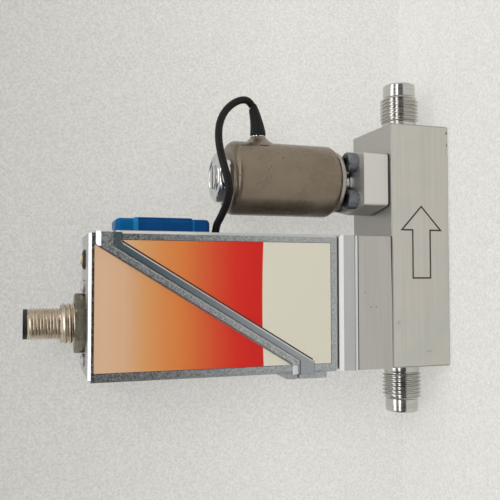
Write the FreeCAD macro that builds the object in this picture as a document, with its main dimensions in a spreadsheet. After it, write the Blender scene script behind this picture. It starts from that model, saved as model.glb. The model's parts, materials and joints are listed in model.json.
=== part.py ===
import FreeCAD, Part
import math
import os
import re
import Sketcher

# Mass flow meter with a built-on control valve, in millimetres.
# Gas runs along +X, the label faces -Y and +Z is up. The origin is under the middle of the base.

SIZES = [
    # Base block
    ("base_length", 87.6),
    ("base_depth", 30.0),
    ("base_height", 23.7),
    ("base_bevel", 0.5),
    ("port_height", 11.5),
    ("arrow_tail_x", -12.2),
    ("arrow_neck_x", 5.1),
    ("arrow_tip_x", 14.4),
    ("arrow_height", 11.7),
    ("arrow_shaft_half", 3.9),
    ("arrow_head_half", 8.7),
    ("arrow_line", 0.6),
    ("arrow_cut", 0.2),
    ("foot_hole_radius", 1.65),
    ("foot_hole_depth", 4.5),
    ("foot_hole_pitch", 60.0),
    # Gas fittings, nine sixteenths of an inch over the thread
    ("thread_radius", 7.14),
    ("thread_length", 9.9),
    ("thread_bevel", 0.7),
    ("neck_radius", 6.7),
    ("neck_length", 3.2),
    ("nose_radius", 6.05),
    ("nose_length", 5.2),
    ("nose_round", 1.3),
    ("port_bore", 2.3),
    ("spigot_radius", 5.9),
    ("spigot_length", 9.0),
    ("fitting_seal_section", 0.7),
    # Flow path inside the base
    ("screen_thickness", 1.0),
    ("clamp_ring_length", 1.8),
    ("clamp_ring_bore", 3.6),
    ("element_length", 23.0),
    ("element_core_radius", 2.0),
    ("disc_count", 9),
    ("disc_thickness", 1.9),
    ("channel_radius", 1.3),
    ("tap_radius", 0.8),
    ("tap_pitch", 16.0),
    # Sensor block and its capillary
    ("stack_width", 46.8),
    ("sensor_block_height", 13.4),
    ("block_seal_radius", 2.0),
    ("block_seal_section", 0.6),
    ("block_screw_inset", 5.0),
    ("capillary_radius", 0.45),
    ("capillary_rise", 5.2),
    ("capillary_depth", 3.0),
    ("winding_radius", 1.0),
    ("winding_length", 4.5),
    ("sensor_can_length", 21.0),
    ("sensor_can_width", 8.6),
    ("sensor_can_height", 7.0),
    ("sensor_can_wall", 0.6),
    # Foot plate under the housing
    ("foot_height", 7.7),
    ("foot_bevel", 0.9),
    ("foot_groove", 0.3),
    ("foot_groove_lift", 0.9),
    ("foot_window_play", 0.5),
    ("foot_screw_gap", 2.4),
    # Die-cast housing
    ("housing_overhang", 0.1),
    ("housing_height", 84.1),
    ("housing_depth", 30.0),
    ("housing_bevel", 0.9),
    ("housing_wall", 2.2),
    ("strap_drop", 7.7),
    ("strap_lift", 14.75),
    ("strap_inset", 5.0),
    ("strap_low_inset", 4.3),
    ("strap_half_run", 2.9),
    ("strap_end_wide", 5.6),
    ("strap_end_slim", 2.4),
    ("strap_upper_rise", 0.85),
    ("strap_lower_rise", 0.6),
    ("strap_bevel", 0.45),
    ("strap_end_slope", 1.5),
    ("strap_root", 0.1),
    ("strap_proud", 0.4),
    ("joint_groove_run", 0.4),
    ("joint_groove_depth", 0.6),
    ("hook_height", 18.5),
    ("hook_lift", 4.2),
    ("hook_proud", 2.0),
    ("label_rim", 2.8),
    ("label_top_rim", 1.6),
    ("label_recess", 0.3),
    ("label_thickness", 0.2),
    ("label_gap", 0.15),
    # Circuit board
    ("board_thickness", 1.6),
    ("board_offset", 4.0),
    ("board_margin", 2.0),
    ("board_head_gap", 1.0),
    ("board_boss_radius", 2.6),
    ("board_screw_lift", 4.8),
    ("board_screw_side", 2.8),
    ("boss_thread_depth", 4.0),
    ("board_screw_grip", 3.5),
    ("chip_size", 12.0),
    # Round connector on the top
    ("connector_offset", 6.0),
    ("connector_collar_radius", 6.6),
    ("connector_collar_height", 7.8),
    ("connector_thread_radius", 5.1),
    ("connector_thread_length", 10.0),
    ("connector_socket_radius", 4.3),
    ("connector_liner_wall", 0.5),
    ("connector_lip", 1.3),
    ("connector_socket_depth", 10.2),
    ("connector_flange_radius", 8.4),
    ("connector_flange_thickness", 1.8),
    ("connector_tail", 9.0),
    ("connector_nut_flats", 17.0),
    ("connector_nut_height", 3.4),
    ("connector_pin_radius", 0.5),
    ("connector_pin_circle", 2.2),
    ("connector_pin_length", 5.2),
    ("connector_pin_count", 5),
    ("connector_seal_section", 0.6),
    # Small screws and the push button on the top
    ("top_screw_pitch", 24.2),
    ("top_screw_head_radius", 2.2),
    ("top_screw_head_height", 1.3),
    ("top_screw_radius", 1.25),
    ("top_screw_length", 5.0),
    ("bracket_thickness", 1.2),
    ("bracket_length", 30.0),
    ("bracket_width", 14.5),
    ("bracket_lap", 1.3),
    ("button_inset", 8.8),
    ("button_radius", 1.65),
    ("button_rise", 1.7),
    ("button_collar_radius", 2.4),
    ("button_collar_height", 0.5),
    ("button_travel", 0.4),
    ("button_play", 0.08),
    ("bezel_radius", 3.4),
    ("bezel_top_radius", 2.3),
    ("bezel_height", 1.3),
    ("switch_size", 6.0),
    ("switch_height", 3.8),
    # Nine-pole side connector and its dust cap
    ("dsub_drop", 24.9),
    ("dsub_flange_length", 30.8),
    ("dsub_flange_width", 12.5),
    ("dsub_flange_thickness", 0.7),
    ("dsub_shell_inset", 6.95),
    ("dsub_shell_half_width", 4.2),
    ("dsub_shell_taper", 1.45),
    ("dsub_shell_reach", 3.6),
    ("dsub_shell_wall", 0.5),
    ("dsub_jack_inset", 2.9),
    ("dsub_jack_flats", 4.6),
    ("dsub_jack_reach", 3.2),
    ("dsub_contact_radius", 0.5),
    ("dsub_contact_margin", 2.93),
    ("dsub_row_offset", 1.42),
    ("cap_overlap", 0.45),
    ("cap_side", 0.5),
    ("cap_reach", 4.8),
    ("cap_round", 1.4),
    ("cap_end", 6.05),
    ("cap_waist", 0.4),
    ("cap_middle_rise", 0.35),
    ("cap_play", 0.4),
    # Valve block and its screws
    ("coil_gap", 7.3),
    ("valve_block_front", 18.6),
    ("valve_block_waist", 23.8),
    ("valve_block_depth", 27.2),
    ("valve_block_height", 10.2),
    ("valve_block_round", 1.2),
    ("valve_block_foot", 0.35),
    ("screw_pitch", 13.4),
    ("screw_radius", 2.0),
    ("screw_head_radius", 3.5),
    ("screw_head_height", 4.0),
    ("screw_socket_flats", 3.0),
    ("screw_socket_depth", 2.2),
    ("screw_grip", 6.0),
    ("screw_play", 0.05),
    # Valve sleeve, plunger and orifice
    ("sleeve_radius", 4.75),
    ("sleeve_bore", 4.1),
    ("sleeve_flange_radius", 6.2),
    ("sleeve_flange_height", 3.0),
    ("valve_seal_radius", 5.3),
    ("valve_seal_section", 0.55),
    ("orifice_radius", 1.9),
    ("orifice_bore", 0.5),
    ("orifice_rise", 1.5),
    ("orifice_depth", 4.0),
    ("seat_gap", 0.02),
    ("valve_inlet_offset", 3.2),
    ("plunger_play", 0.09),
    ("plunger_length", 24.0),
    ("plunger_seal_radius", 1.7),
    ("plunger_seal_height", 1.4),
    ("plunger_seal_proud", 0.5),
    ("plunger_stroke", 0.4),
    ("plunger_air_gap", 0.3),
    ("spring_well_radius", 2.6),
    ("spring_well_depth", 8.0),
    ("spring_radius", 1.9),
    ("spring_wire", 0.35),
    ("spring_turns", 5),
    # Coil
    ("coil_lift", 17.3),
    ("coil_radius", 13.0),
    ("coil_height", 40.0),
    ("coil_wall", 1.5),
    ("coil_end_wall", 3.4),
    ("coil_round", 2.9),
    ("coil_ring_radius", 11.3),
    ("coil_ring_height", 1.9),
    ("coil_ring_round", 1.1),
    ("bobbin_wall", 0.8),
    ("bobbin_flange", 1.2),
    ("bobbin_play", 0.05),
    ("nut_flats", 16.0),
    ("nut_height", 4.2),
    ("nut_crown_radius", 8.8),
    ("stud_radius", 4.0),
    ("stud_proud", 0.7),
    ("stud_slot", 1.2),
    # Lead boss, ferrule, sleeve and cable
    ("boss_height", 69.0),
    ("boss_base_radius", 7.4),
    ("boss_top_radius", 2.7),
    ("boss_reach", 1.95),
    ("boss_root", 2.0),
    ("ferrule_radius", 2.6),
    ("ferrule_length", 0.5),
    ("boot_radius", 2.8),
    ("boot_tip_radius", 1.65),
    ("boot_length", 10.7),
    ("boot_lean", 2.1),
    ("cable_radius", 1.3),
    ("cable_lead_out", 1.75),
    ("cable_lead_in", 4.6),
    ("loop_rise", 11.14),
    ("loop_side", 10.62),
    ("cable_entry_gap", 0.1),
    ("cable_entry_offset", 4.0),
    ("grommet_radius", 2.1),
    ("grommet_barrel_radius", 1.75),
    ("grommet_rim", 0.3),
]

# Places that follow from the sizes, written once for everything that meets there.
PLACES = [
    ("base_right", "base_length / 2"),
    ("stack_x", "stack_width / 2 - base_length / 2"),
    ("foot_floor", "base_height + sensor_block_height"),
    ("housing_floor", "foot_floor + foot_height"),
    ("housing_top", "housing_floor + housing_height"),
    ("housing_width", "stack_width + 2 * housing_overhang"),
    ("housing_left", "stack_x - housing_width / 2"),
    ("housing_right", "stack_x + housing_width / 2"),
    ("housing_ceiling", "housing_top - housing_wall"),
    ("valve_x", "housing_right + coil_gap + coil_radius"),
    ("joint_high", "housing_top - strap_drop"),
    ("joint_high_x", "housing_right - strap_inset"),
    ("joint_low_x", "housing_left + strap_low_inset"),
    ("joint_low", "housing_floor + strap_lift"),
    ("strap_slope", "(joint_high - joint_low) / (joint_high_x - joint_low_x)"),
    ("wide_bend", "strap_half_run - strap_end_wide / strap_slope"),
    ("slim_bend", "strap_half_run - strap_end_slim / strap_slope"),
    ("port_reach", "spigot_length + 2 * fitting_seal_section"),
    ("bore_radius", "spigot_radius + screw_play"),
    ("screen_x", "port_reach - base_length / 2"),
    ("clamp_x", "screen_x + screen_thickness + screw_play"),
    ("element_x", "clamp_x + clamp_ring_length + screw_play"),
    ("bore_end", "element_x + element_length + screw_play"),
    ("connector_x", "stack_x - connector_offset"),
    ("button_x", "housing_right - button_inset"),
    ("switch_top", "housing_ceiling - button_collar_height - button_travel - 3 * screw_play"),
    ("board_front", "board_offset - board_thickness / 2"),
    ("board_floor", "housing_floor + housing_wall + board_margin"),
    ("board_top", "housing_ceiling - connector_tail - board_head_gap"),
    ("board_height", "board_top - board_floor"),
    ("board_width", "housing_width - 2 * housing_wall - 2 * board_margin"),
    ("bracket_drop", "housing_ceiling - board_top + bracket_lap"),
    ("dsub_height", "housing_top - dsub_drop"),
    ("dsub_shell_half_length", "dsub_flange_length / 2 - dsub_shell_inset"),
    ("dsub_jack_pitch", "dsub_flange_length - 2 * dsub_jack_inset"),
    ("dsub_contact_pitch", "(dsub_shell_half_length - dsub_contact_margin) / 2"),
    ("cap_length", "dsub_flange_length + 2 * cap_overlap"),
    ("cap_width", "dsub_flange_width + 2 * cap_side"),
    ("cap_middle_length", "cap_length - 2 * cap_end"),
    ("cable_entry_height", "dsub_height - max(cap_length; dsub_flange_length) / 2 - grommet_radius"
     " - cable_entry_gap"),
    ("valve_inlet_x", "valve_x - valve_inlet_offset"),
    ("seat_height", "base_height + orifice_rise"),
    ("plunger_floor", "seat_height + seat_gap + plunger_seal_proud"),
    ("plunger_top", "plunger_floor + plunger_length"),
    ("pole_floor", "plunger_top + plunger_stroke + plunger_air_gap"),
    ("coil_floor", "base_height + coil_lift"),
    ("coil_top", "coil_floor + coil_height"),
    ("boss_x", "valve_x + coil_radius + boss_reach"),
    ("boot_x", "boss_x + ferrule_length"),
    ("boot_tip_x", "boot_x + boot_length"),
    ("boot_tip_height", "boss_height + boot_lean"),
]

SIZE_NAMES = {alias for alias, number in SIZES}
PLACE_NAMES = {alias for alias, formula in PLACES}
WORD = re.compile(r"[a-z][a-z_]*")

doc = FreeCAD.newDocument("FlowMeter")


def link(text, inside_places=False):
    """Turns plain aliases in a formula into references to the two sheets."""
    def reference(match):
        word = match.group(0)
        if word in SIZE_NAMES:
            return "Sizes." + word
        if word in PLACE_NAMES and not inside_places:
            return "Places." + word
        return word
    return WORD.sub(reference, text)


def make_sheet(name, rows):
    sheet = doc.addObject("Spreadsheet::Sheet", name)
    for row, (alias, content) in enumerate(rows, start=1):
        sheet.set("A%d" % row, alias)
        sheet.set("B%d" % row, content)
        sheet.setAlias("B%d" % row, alias)
    doc.recompute()
    return sheet


sizes = make_sheet("Sizes", [(alias, str(number)) for alias, number in SIZES])
places = make_sheet("Places", [(alias, "=" + link(formula, True)) for alias, formula in PLACES])


def size(alias):
    """The number that a named size or place has now."""
    sheet = sizes if alias in SIZE_NAMES else places
    return float(getattr(sheet, alias))


def bind(thing, **formulas):
    for name, formula in formulas.items():
        thing.setExpression(name, link(str(formula)))
    return thing


# Which way a piece's own Z axis points once it is placed
TURNS = {
    "+Z": FreeCAD.Rotation(),
    "-Z": FreeCAD.Rotation(FreeCAD.Vector(1, 0, 0), 180),
    "+X": FreeCAD.Rotation(FreeCAD.Vector(0, 1, 0), 90),
    "-X": FreeCAD.Rotation(FreeCAD.Vector(0, 1, 0), -90),
    "+Y": FreeCAD.Rotation(FreeCAD.Vector(1, 0, 0), -90),
    "-Y": FreeCAD.Rotation(FreeCAD.Vector(1, 0, 0), 90),
}


def put(thing, x="0", y="0", z="0", way="+Z"):
    thing.Placement = FreeCAD.Placement(FreeCAD.Vector(), TURNS[way])
    for axis, formula in zip("xyz", (x, y, z)):
        thing.setExpression("Placement.Base." + axis, link(str(formula)))
    return thing


def box(name, length, width, height, x="0", y="0", z="0"):
    """A box centred on x and y that stands on z."""
    made = doc.addObject("Part::Box", name)
    bind(made, Length=length, Width=width, Height=height)
    corner_x = "(%s) - (%s) / 2" % (x, length)
    corner_y = "(%s) - (%s) / 2" % (y, width)
    return put(made, corner_x, corner_y, z)


def rod(name, radius, length, x="0", y="0", z="0", way="+Z"):
    made = doc.addObject("Part::Cylinder", name)
    bind(made, Radius=radius, Height=length)
    return put(made, x, y, z, way)


def cone(name, radius, end_radius, length, x="0", y="0", z="0", way="+Z"):
    made = doc.addObject("Part::Cone", name)
    bind(made, Radius1=radius, Radius2=end_radius, Height=length)
    return put(made, x, y, z, way)


def ring(name, radius, section, x="0", y="0", z="0", way="+Z"):
    made = doc.addObject("Part::Torus", name)
    bind(made, Radius1=radius, Radius2=section)
    return put(made, x, y, z, way)


def hexagon(name, flats, height, x="0", y="0", z="0", way="+Z"):
    made = doc.addObject("Part::Prism", name)
    made.Polygon = 6
    bind(made, Circumradius="(%s) / sqrt(3)" % flats, Height=height)
    return put(made, x, y, z, way)


def fuse(name, *parts):
    made = doc.addObject("Part::MultiFuse", name)
    made.Shapes = list(parts)
    return made


def cut(name, base, *tools):
    tool = tools[0] if len(tools) == 1 else fuse(name + "_tools", *tools)
    made = doc.addObject("Part::Cut", name)
    made.Base = base
    made.Tool = tool
    return made


def common(name, first, second):
    made = doc.addObject("Part::Common", name)
    made.Base = first
    made.Tool = second
    return made


def group(name, *parts):
    made = doc.addObject("Part::Compound", name)
    made.Links = list(parts)
    return made


def new_body(name):
    return doc.addObject("PartDesign::Body", name)


def plane_of(body, role):
    return [item for item in body.Origin.OriginFeatures if item.Role == role][0]


def outline(body, name, role, corners):
    """A closed sketch of straight lines, with every corner held by two formulas."""
    sketch = body.newObject("Sketcher::SketchObject", name)
    sketch.AttachmentSupport = [(plane_of(body, role), "")]
    sketch.MapMode = "FlatFace"
    count = len(corners)
    rough = []
    for index in range(count):
        turn = 2 * math.pi * (index + 0.3) / count
        rough.append(FreeCAD.Vector(10 * math.cos(turn), 10 * math.sin(turn), 0))
    for index in range(count):
        sketch.addGeometry(Part.LineSegment(rough[index], rough[(index + 1) % count]), False)
    for index in range(count):
        sketch.addConstraint(Sketcher.Constraint("Coincident", index, 2, (index + 1) % count, 1))
    for index, (across, along) in enumerate(corners):
        hold_point(sketch, index, "DistanceX", across, rough[index].x)
        hold_point(sketch, index, "DistanceY", along, rough[index].y)
    return sketch


def hold_point(sketch, index, kind, formula, start):
    if formula == "0":
        axis = -2 if kind == "DistanceX" else -1
        sketch.addConstraint(Sketcher.Constraint("PointOnObject", index, 1, axis))
        return
    number = sketch.addConstraint(Sketcher.Constraint(kind, -1, 1, index, 1, start))
    sketch.setExpression("Constraints[%d]" % number, link(formula))


def turned(name, profile):
    """A lathe piece about its own Z axis, from pairs of radius and height."""
    body = new_body(name)
    sketch = outline(body, name + "_profile", "XZ_Plane", profile)
    lathe = body.newObject("PartDesign::Revolution", name + "_turned")
    lathe.Profile = sketch
    lathe.ReferenceAxis = (sketch, ["V_Axis"])
    lathe.Angle = 360
    return body


def padded(name, role, corners, length):
    """A prism that reaches equally far to both sides of the sketch plane."""
    body = new_body(name)
    sketch = outline(body, name + "_outline", role, corners)
    pad = body.newObject("PartDesign::Pad", name + "_pad")
    pad.Profile = sketch
    pad.Midplane = True
    bind(pad, Length=length)
    return body


def soften(body, kind, amount, wanted):
    """Rounds or bevels the edges of the body's last feature that the test picks."""
    doc.recompute()
    last = body.Tip
    names = []
    for number, edge in enumerate(last.Shape.Edges, start=1):
        if wanted(edge):
            names.append("Edge%d" % number)
    feature = body.newObject("PartDesign::" + kind, body.Name + "_" + kind.lower())
    feature.Base = (last, names)
    prop = "Radius" if kind == "Fillet" else "Size"
    bind(feature, **{prop: amount})
    body.Tip = feature
    return body


def circle_at(radius, height):
    """Picks the round edge with this radius at this height on the piece's axis."""
    def wanted(edge):
        curve = edge.Curve
        if curve.TypeId != "Part::GeomCircle":
            return False
        near = abs(curve.Radius - radius) < 0.01 and abs(curve.Center.z - height) < 0.01
        return near and math.hypot(curve.Center.x, curve.Center.y) < 0.01
    return wanted


def line_along(axis):
    """Picks the straight edges that run along one axis."""
    def wanted(edge):
        if edge.Curve.TypeId != "Part::GeomLine":
            return False
        return abs(getattr(edge.Curve.Direction, axis)) > 0.999
    return wanted


def bent_tube(points, radius, bend_of):
    """A round bar along straight runs joined by arcs that touch both runs."""
    edges = []
    start = points[0]
    for index in range(1, len(points) - 1):
        before, corner, after = points[index - 1], points[index], points[index + 1]
        toward, away = before - corner, after - corner
        half_turn = (math.pi - toward.getAngle(away)) / 2
        bend = bend_of(min(toward.Length, away.Length), half_turn)
        setback = bend * math.tan(half_turn)
        toward.normalize()
        away.normalize()
        first = corner + toward * setback
        last = corner + away * setback
        inward = (toward + away).normalize()
        middle = corner + inward * (bend / math.cos(half_turn) - bend)
        if (first - start).Length > 1e-6:
            edges.append(Part.LineSegment(start, first).toShape())
        edges.append(Part.Arc(first, middle, last).toShape())
        start = last
    edges.append(Part.LineSegment(start, points[-1]).toShape())
    wire = Part.Wire(edges)
    heading = (points[1] - points[0]).normalize()
    rim = Part.Wire([Part.makeCircle(radius, points[0], heading)])
    tube = wire.makePipeShell([rim], True, False)
    return tube, wire.Length


def feature(name, shape):
    made = doc.addObject("Part::Feature", name)
    made.Shape = shape
    made.Placement = FreeCAD.Placement()
    return made


# Base block, with the gas path drilled through it

def make_base():
    half_length, half_height = "base_length / 2", "base_height"
    corners = [("-" + half_length, "0"), (half_length, "0"),
               (half_length, half_height), ("-" + half_length, half_height)]
    block = padded("base_block", "XZ_Plane", corners, "base_depth")
    soften(block, "Chamfer", "base_bevel", lambda edge: True)
    left = "-base_length / 2"
    drills = [
        rod("inlet_bore", "bore_radius", "bore_end + base_length / 2", left, "0", "port_height", "+X"),
        rod("outlet_bore", "bore_radius", "port_reach", "base_right", "0", "port_height", "-X"),
        rod("valve_feed", "channel_radius", "valve_inlet_x - bore_end + tap_radius",
            "bore_end", "0", "port_height", "+X"),
        rod("valve_riser", "tap_radius", "base_height - port_height",
            "valve_inlet_x", "0", "port_height"),
        rod("orifice_seat", "orifice_radius + screw_play", "orifice_depth",
            "valve_x", "0", "base_height", "-Z"),
        rod("valve_drop", "channel_radius", "base_height - port_height", "valve_x", "0", "port_height"),
        rod("outlet_feed", "channel_radius", "base_right - valve_x", "valve_x", "0", "port_height", "+X"),
        cut("valve_seal_groove",
            rod("groove_outer", "valve_seal_radius + valve_seal_section",
                "2 * valve_seal_section", "valve_x", "0", "base_height", "-Z"),
            rod("groove_inner", "valve_seal_radius - valve_seal_section",
                "2 * valve_seal_section", "valve_x", "0", "base_height", "-Z")),
    ]
    for side, sign in (("near", "-"), ("far", "+")):
        tap_x = "stack_x %s tap_pitch / 2" % sign
        drills.append(rod("tap_" + side, "tap_radius", "base_height - port_height",
                          tap_x, "0", "port_height"))
        drills.append(rod("tap_seat_" + side, "block_seal_radius + block_seal_section",
                          "2 * block_seal_section", tap_x, "0", "base_height", "-Z"))
        drills.append(rod("foot_hole_" + side, "foot_hole_radius", "foot_hole_depth",
                          "%s foot_hole_pitch / 2" % sign))
    for name, x, y in valve_screw_places():
        drills.append(rod("tapped_" + name, "screw_radius + screw_play", "screw_grip + 1",
                          x, y, "base_height", "-Z"))
    for name, x, y in block_screw_places():
        drills.append(rod("tapped_" + name, "screw_radius + screw_play", "screw_grip + 1",
                          x, y, "base_height", "-Z"))
    return cut("base_body", block, make_arrow(), *drills)


def make_arrow():
    """The flow arrow's engraved line: its outline less the same outline drawn in by the line."""
    neck, tip = "arrow_tip_x - arrow_neck_x", "arrow_tip_x"
    back = "arrow_line * sqrt((%s) ^ 2 + arrow_head_half ^ 2) / arrow_head_half" % neck
    inner_half = "arrow_head_half * (%s - (%s) - arrow_line) / (%s)" % (neck, back, neck)
    outer = arrow_corners("arrow_tail_x", "arrow_neck_x", tip, "arrow_shaft_half", "arrow_head_half")
    inner = arrow_corners("arrow_tail_x + arrow_line", "arrow_neck_x + arrow_line", "%s - %s" % (tip, back),
                          "(arrow_shaft_half - arrow_line)", inner_half)
    bars = [padded("arrow_" + name, "XZ_Plane", corners, "2 * arrow_cut")
            for name, corners in (("outside", outer), ("inside", inner))]
    for bar in bars:
        put(bar, "0", "-base_depth / 2", "0")
    return cut("arrow_line_tool", *bars)


def arrow_corners(tail, neck, tip, shaft_half, head_half):
    low_shaft, high_shaft = "arrow_height - " + shaft_half, "arrow_height + " + shaft_half
    return [(tail, low_shaft), (neck, low_shaft), (neck, "arrow_height - " + head_half),
            (tip, "arrow_height"), (neck, "arrow_height + " + head_half),
            (neck, high_shaft), (tail, high_shaft)]


def corner_places(name, x, half_x, half_y):
    spots = []
    for side, sign_x in (("left", "-"), ("right", "+")):
        for end, sign_y in (("front", "-"), ("back", "+")):
            spots.append(("%s_%s_%s" % (name, side, end),
                          "%s %s %s" % (x, sign_x, half_x), "%s %s" % (sign_y, half_y)))
    return spots


def valve_screw_places():
    return corner_places("valve_screw", "valve_x", "screw_pitch / 2", "screw_pitch / 2")


def block_screw_places():
    return corner_places("block_screw", "stack_x", "(stack_width / 2 - block_screw_inset)",
                         "(base_depth / 2 - block_screw_inset)")


def make_fitting(name, x, way):
    """A gas fitting: spigot in the base, neck, threaded barrel and plain nose."""
    shoulder = "neck_length + thread_length"
    tip = shoulder + " + nose_length"
    profile = [("port_bore", "-spigot_length"), ("spigot_radius", "-spigot_length"),
               ("spigot_radius", "0"), ("neck_radius", "0"), ("neck_radius", "neck_length"),
               ("thread_radius - thread_bevel", "neck_length"),
               ("thread_radius", "neck_length + thread_bevel"),
               ("thread_radius", shoulder + " - thread_bevel"),
               ("thread_radius - thread_bevel", shoulder), ("nose_radius", shoulder),
               ("nose_radius", tip), ("port_bore", tip)]
    body = turned(name, profile)
    height = size("neck_length") + size("thread_length") + size("nose_length")
    soften(body, "Fillet", "nose_round", circle_at(size("nose_radius"), height))
    return put(body, x, "0", "port_height", way)


def make_fitting_seal(name, x, sign):
    reach = "%s %s (spigot_length + fitting_seal_section)" % (x, sign)
    return ring(name, "spigot_radius - fitting_seal_section - screw_play", "fitting_seal_section",
                reach, "0", "port_height", "+X")


def make_flow_path():
    """Filter screen, clamp ring and laminar flow element, in a row behind the inlet."""
    screen = rod("inlet_filter_screen", "spigot_radius", "screen_thickness",
                 "screen_x", "0", "port_height", "+X")
    clamp = turned("flow_element_clamp", [
        ("clamp_ring_bore", "0"), ("spigot_radius", "0"),
        ("spigot_radius", "clamp_ring_length"), ("clamp_ring_bore", "clamp_ring_length")])
    put(clamp, "clamp_x", "0", "port_height", "+X")
    parts = [rod("element_core", "element_core_radius", "element_length",
                 "element_x", "0", "port_height", "+X")]
    count = int(size("disc_count"))
    for number in range(count):
        step = "element_x + %d * (element_length - disc_thickness) / %d" % (number, count - 1)
        parts.append(rod("element_disc_%d" % (number + 1), "spigot_radius", "disc_thickness",
                         step, "0", "port_height", "+X"))
    return screen, clamp, fuse("laminar_flow_element", *parts)


# Sensor block, capillary sensor and foot plate

def make_sensor_block():
    block = padded("sensor_block_bar", "XZ_Plane", [
        ("-stack_width / 2", "0"), ("stack_width / 2", "0"),
        ("stack_width / 2", "sensor_block_height"), ("-stack_width / 2", "sensor_block_height")],
        "base_depth")
    soften(block, "Chamfer", "base_bevel / 2", lambda edge: True)
    put(block, "stack_x", "0", "base_height")
    drills = []
    for side, sign in (("near", "-"), ("far", "+")):
        tap_x = "stack_x %s tap_pitch / 2" % sign
        drills.append(rod("block_tap_" + side, "tap_radius", "sensor_block_height - capillary_depth",
                          tap_x, "0", "base_height"))
        drills.append(rod("capillary_seat_" + side, "capillary_radius + screw_play",
                          "sensor_block_height", tap_x, "0", "base_height"))
    for name, x, y in block_screw_places():
        drills.append(rod("clear_" + name, "screw_radius + 0.2", "sensor_block_height",
                          x, y, "base_height"))
        drills.append(rod("sink_" + name, "screw_head_radius + 0.3", "screw_head_height + 0.3",
                          x, y, "foot_floor", "-Z"))
    return cut("sensor_block", block, *drills)


def make_cap_screw(name, x, y, head_floor, shank):
    """A socket-head screw whose head stands on head_floor."""
    head = rod(name + "_head", "screw_head_radius", "screw_head_height", x, y, head_floor)
    socket = hexagon(name + "_socket", "screw_socket_flats", "screw_socket_depth",
                     x, y, "%s + screw_head_height - screw_socket_depth" % head_floor)
    stem = rod(name + "_stem", "screw_radius", shank, x, y, head_floor, "-Z")
    return cut(name, fuse(name + "_blank", head, stem), socket)


def make_block_seals():
    seals = []
    for side, sign in (("near", "-"), ("far", "+")):
        seals.append(ring("block_seal_" + side, "block_seal_radius - screw_play",
                          "block_seal_section", "stack_x %s tap_pitch / 2" % sign, "0",
                          "base_height - block_seal_section"))
    return group("sensor_block_seals", *seals)


def make_capillary():
    """The hair-thin bypass tube: up, across and down again, with its two windings."""
    low = size("foot_floor") - size("capillary_depth")
    high = size("foot_floor") + size("capillary_rise")
    near = size("stack_x") - size("tap_pitch") / 2
    far = size("stack_x") + size("tap_pitch") / 2
    points = [FreeCAD.Vector(near, 0, low), FreeCAD.Vector(near, 0, high),
              FreeCAD.Vector(far, 0, high), FreeCAD.Vector(far, 0, low)]
    bend = 3 * size("capillary_radius")
    shape, length = bent_tube(points, size("capillary_radius"), lambda run, half_turn: bend)
    tube = feature("sensor_capillary", shape)
    windings = []
    for side, sign in (("near", "-"), ("far", "+")):
        middle = "stack_x %s (winding_length / 2 + 0.5) - winding_length / 2" % sign
        outer = rod("winding_outer_" + side, "winding_radius", "winding_length",
                    middle, "0", "foot_floor + capillary_rise", "+X")
        inner = rod("winding_inner_" + side, "capillary_radius + 0.02", "winding_length",
                    middle, "0", "foot_floor + capillary_rise", "+X")
        windings.append(cut("sensor_winding_" + side, outer, inner))
    return tube, group("sensor_windings", *windings)


def make_sensor_can():
    shell = box("sensor_can_shell", "sensor_can_length", "sensor_can_width", "sensor_can_height",
                "stack_x", "0", "foot_floor")
    inside = box("sensor_can_inside", "sensor_can_length - 2 * sensor_can_wall",
                 "sensor_can_width - 2 * sensor_can_wall", "sensor_can_height - sensor_can_wall",
                 "stack_x", "0", "foot_floor")
    return cut("sensor_cover", shell, inside)


def make_foot_plate():
    """Aluminium plate between sensor block and housing, bevelled along its top."""
    plate = padded("foot_blank", "XZ_Plane", [
        ("-stack_width / 2", "0"), ("stack_width / 2", "0"),
        ("stack_width / 2", "foot_height - foot_bevel"),
        ("stack_width / 2 - foot_bevel", "foot_height"),
        ("foot_bevel - stack_width / 2", "foot_height"),
        ("-stack_width / 2", "foot_height - foot_bevel")], "base_depth")
    put(plate, "stack_x", "0", "foot_floor")
    band = box("foot_band", "stack_width + 1", "base_depth + 1", "foot_groove",
               "stack_x", "0", "foot_floor + foot_groove_lift")
    band_core = box("foot_band_core", "stack_width - 2 * foot_groove",
                    "base_depth - 2 * foot_groove", "foot_groove",
                    "stack_x", "0", "foot_floor + foot_groove_lift")
    window = box("foot_window", "sensor_can_length + 2 * foot_window_play",
                 "sensor_can_width + 2 * foot_window_play", "foot_height",
                 "stack_x", "0", "foot_floor")
    holes = []
    for name, x, y in foot_screw_places():
        holes.append(rod("foot_clear_" + name, "top_screw_radius + 0.15", "foot_height",
                         x, y, "foot_floor"))
        holes.append(rod("foot_sink_" + name, "top_screw_head_radius + 0.15",
                         "top_screw_head_height + 0.2", x, y, "foot_floor"))
    return cut("foot_plate", plate, cut("foot_band_ring", band, band_core), window, *holes)


def foot_screw_places():
    reach = "(sensor_can_length / 2 + foot_window_play + foot_screw_gap)"
    return [("left", "stack_x - " + reach, "0"), ("right", "stack_x + " + reach, "0")]


def make_foot_screws():
    """Screws that pull the foot plate up against the housing's floor."""
    screws = []
    for name, x, y in foot_screw_places():
        head = rod("foot_screw_head_" + name, "top_screw_head_radius", "top_screw_head_height",
                   x, y, "foot_floor + 0.2")
        stem = rod("foot_screw_stem_" + name, "top_screw_radius",
                   "foot_height + housing_wall - 0.2", x, y, "foot_floor + 0.2")
        screws.append(fuse("foot_screw_" + name, head, stem))
    return group("foot_plate_screws", *screws)


# Die-cast housing: one hollow casting form, split along the slanting strap

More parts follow.
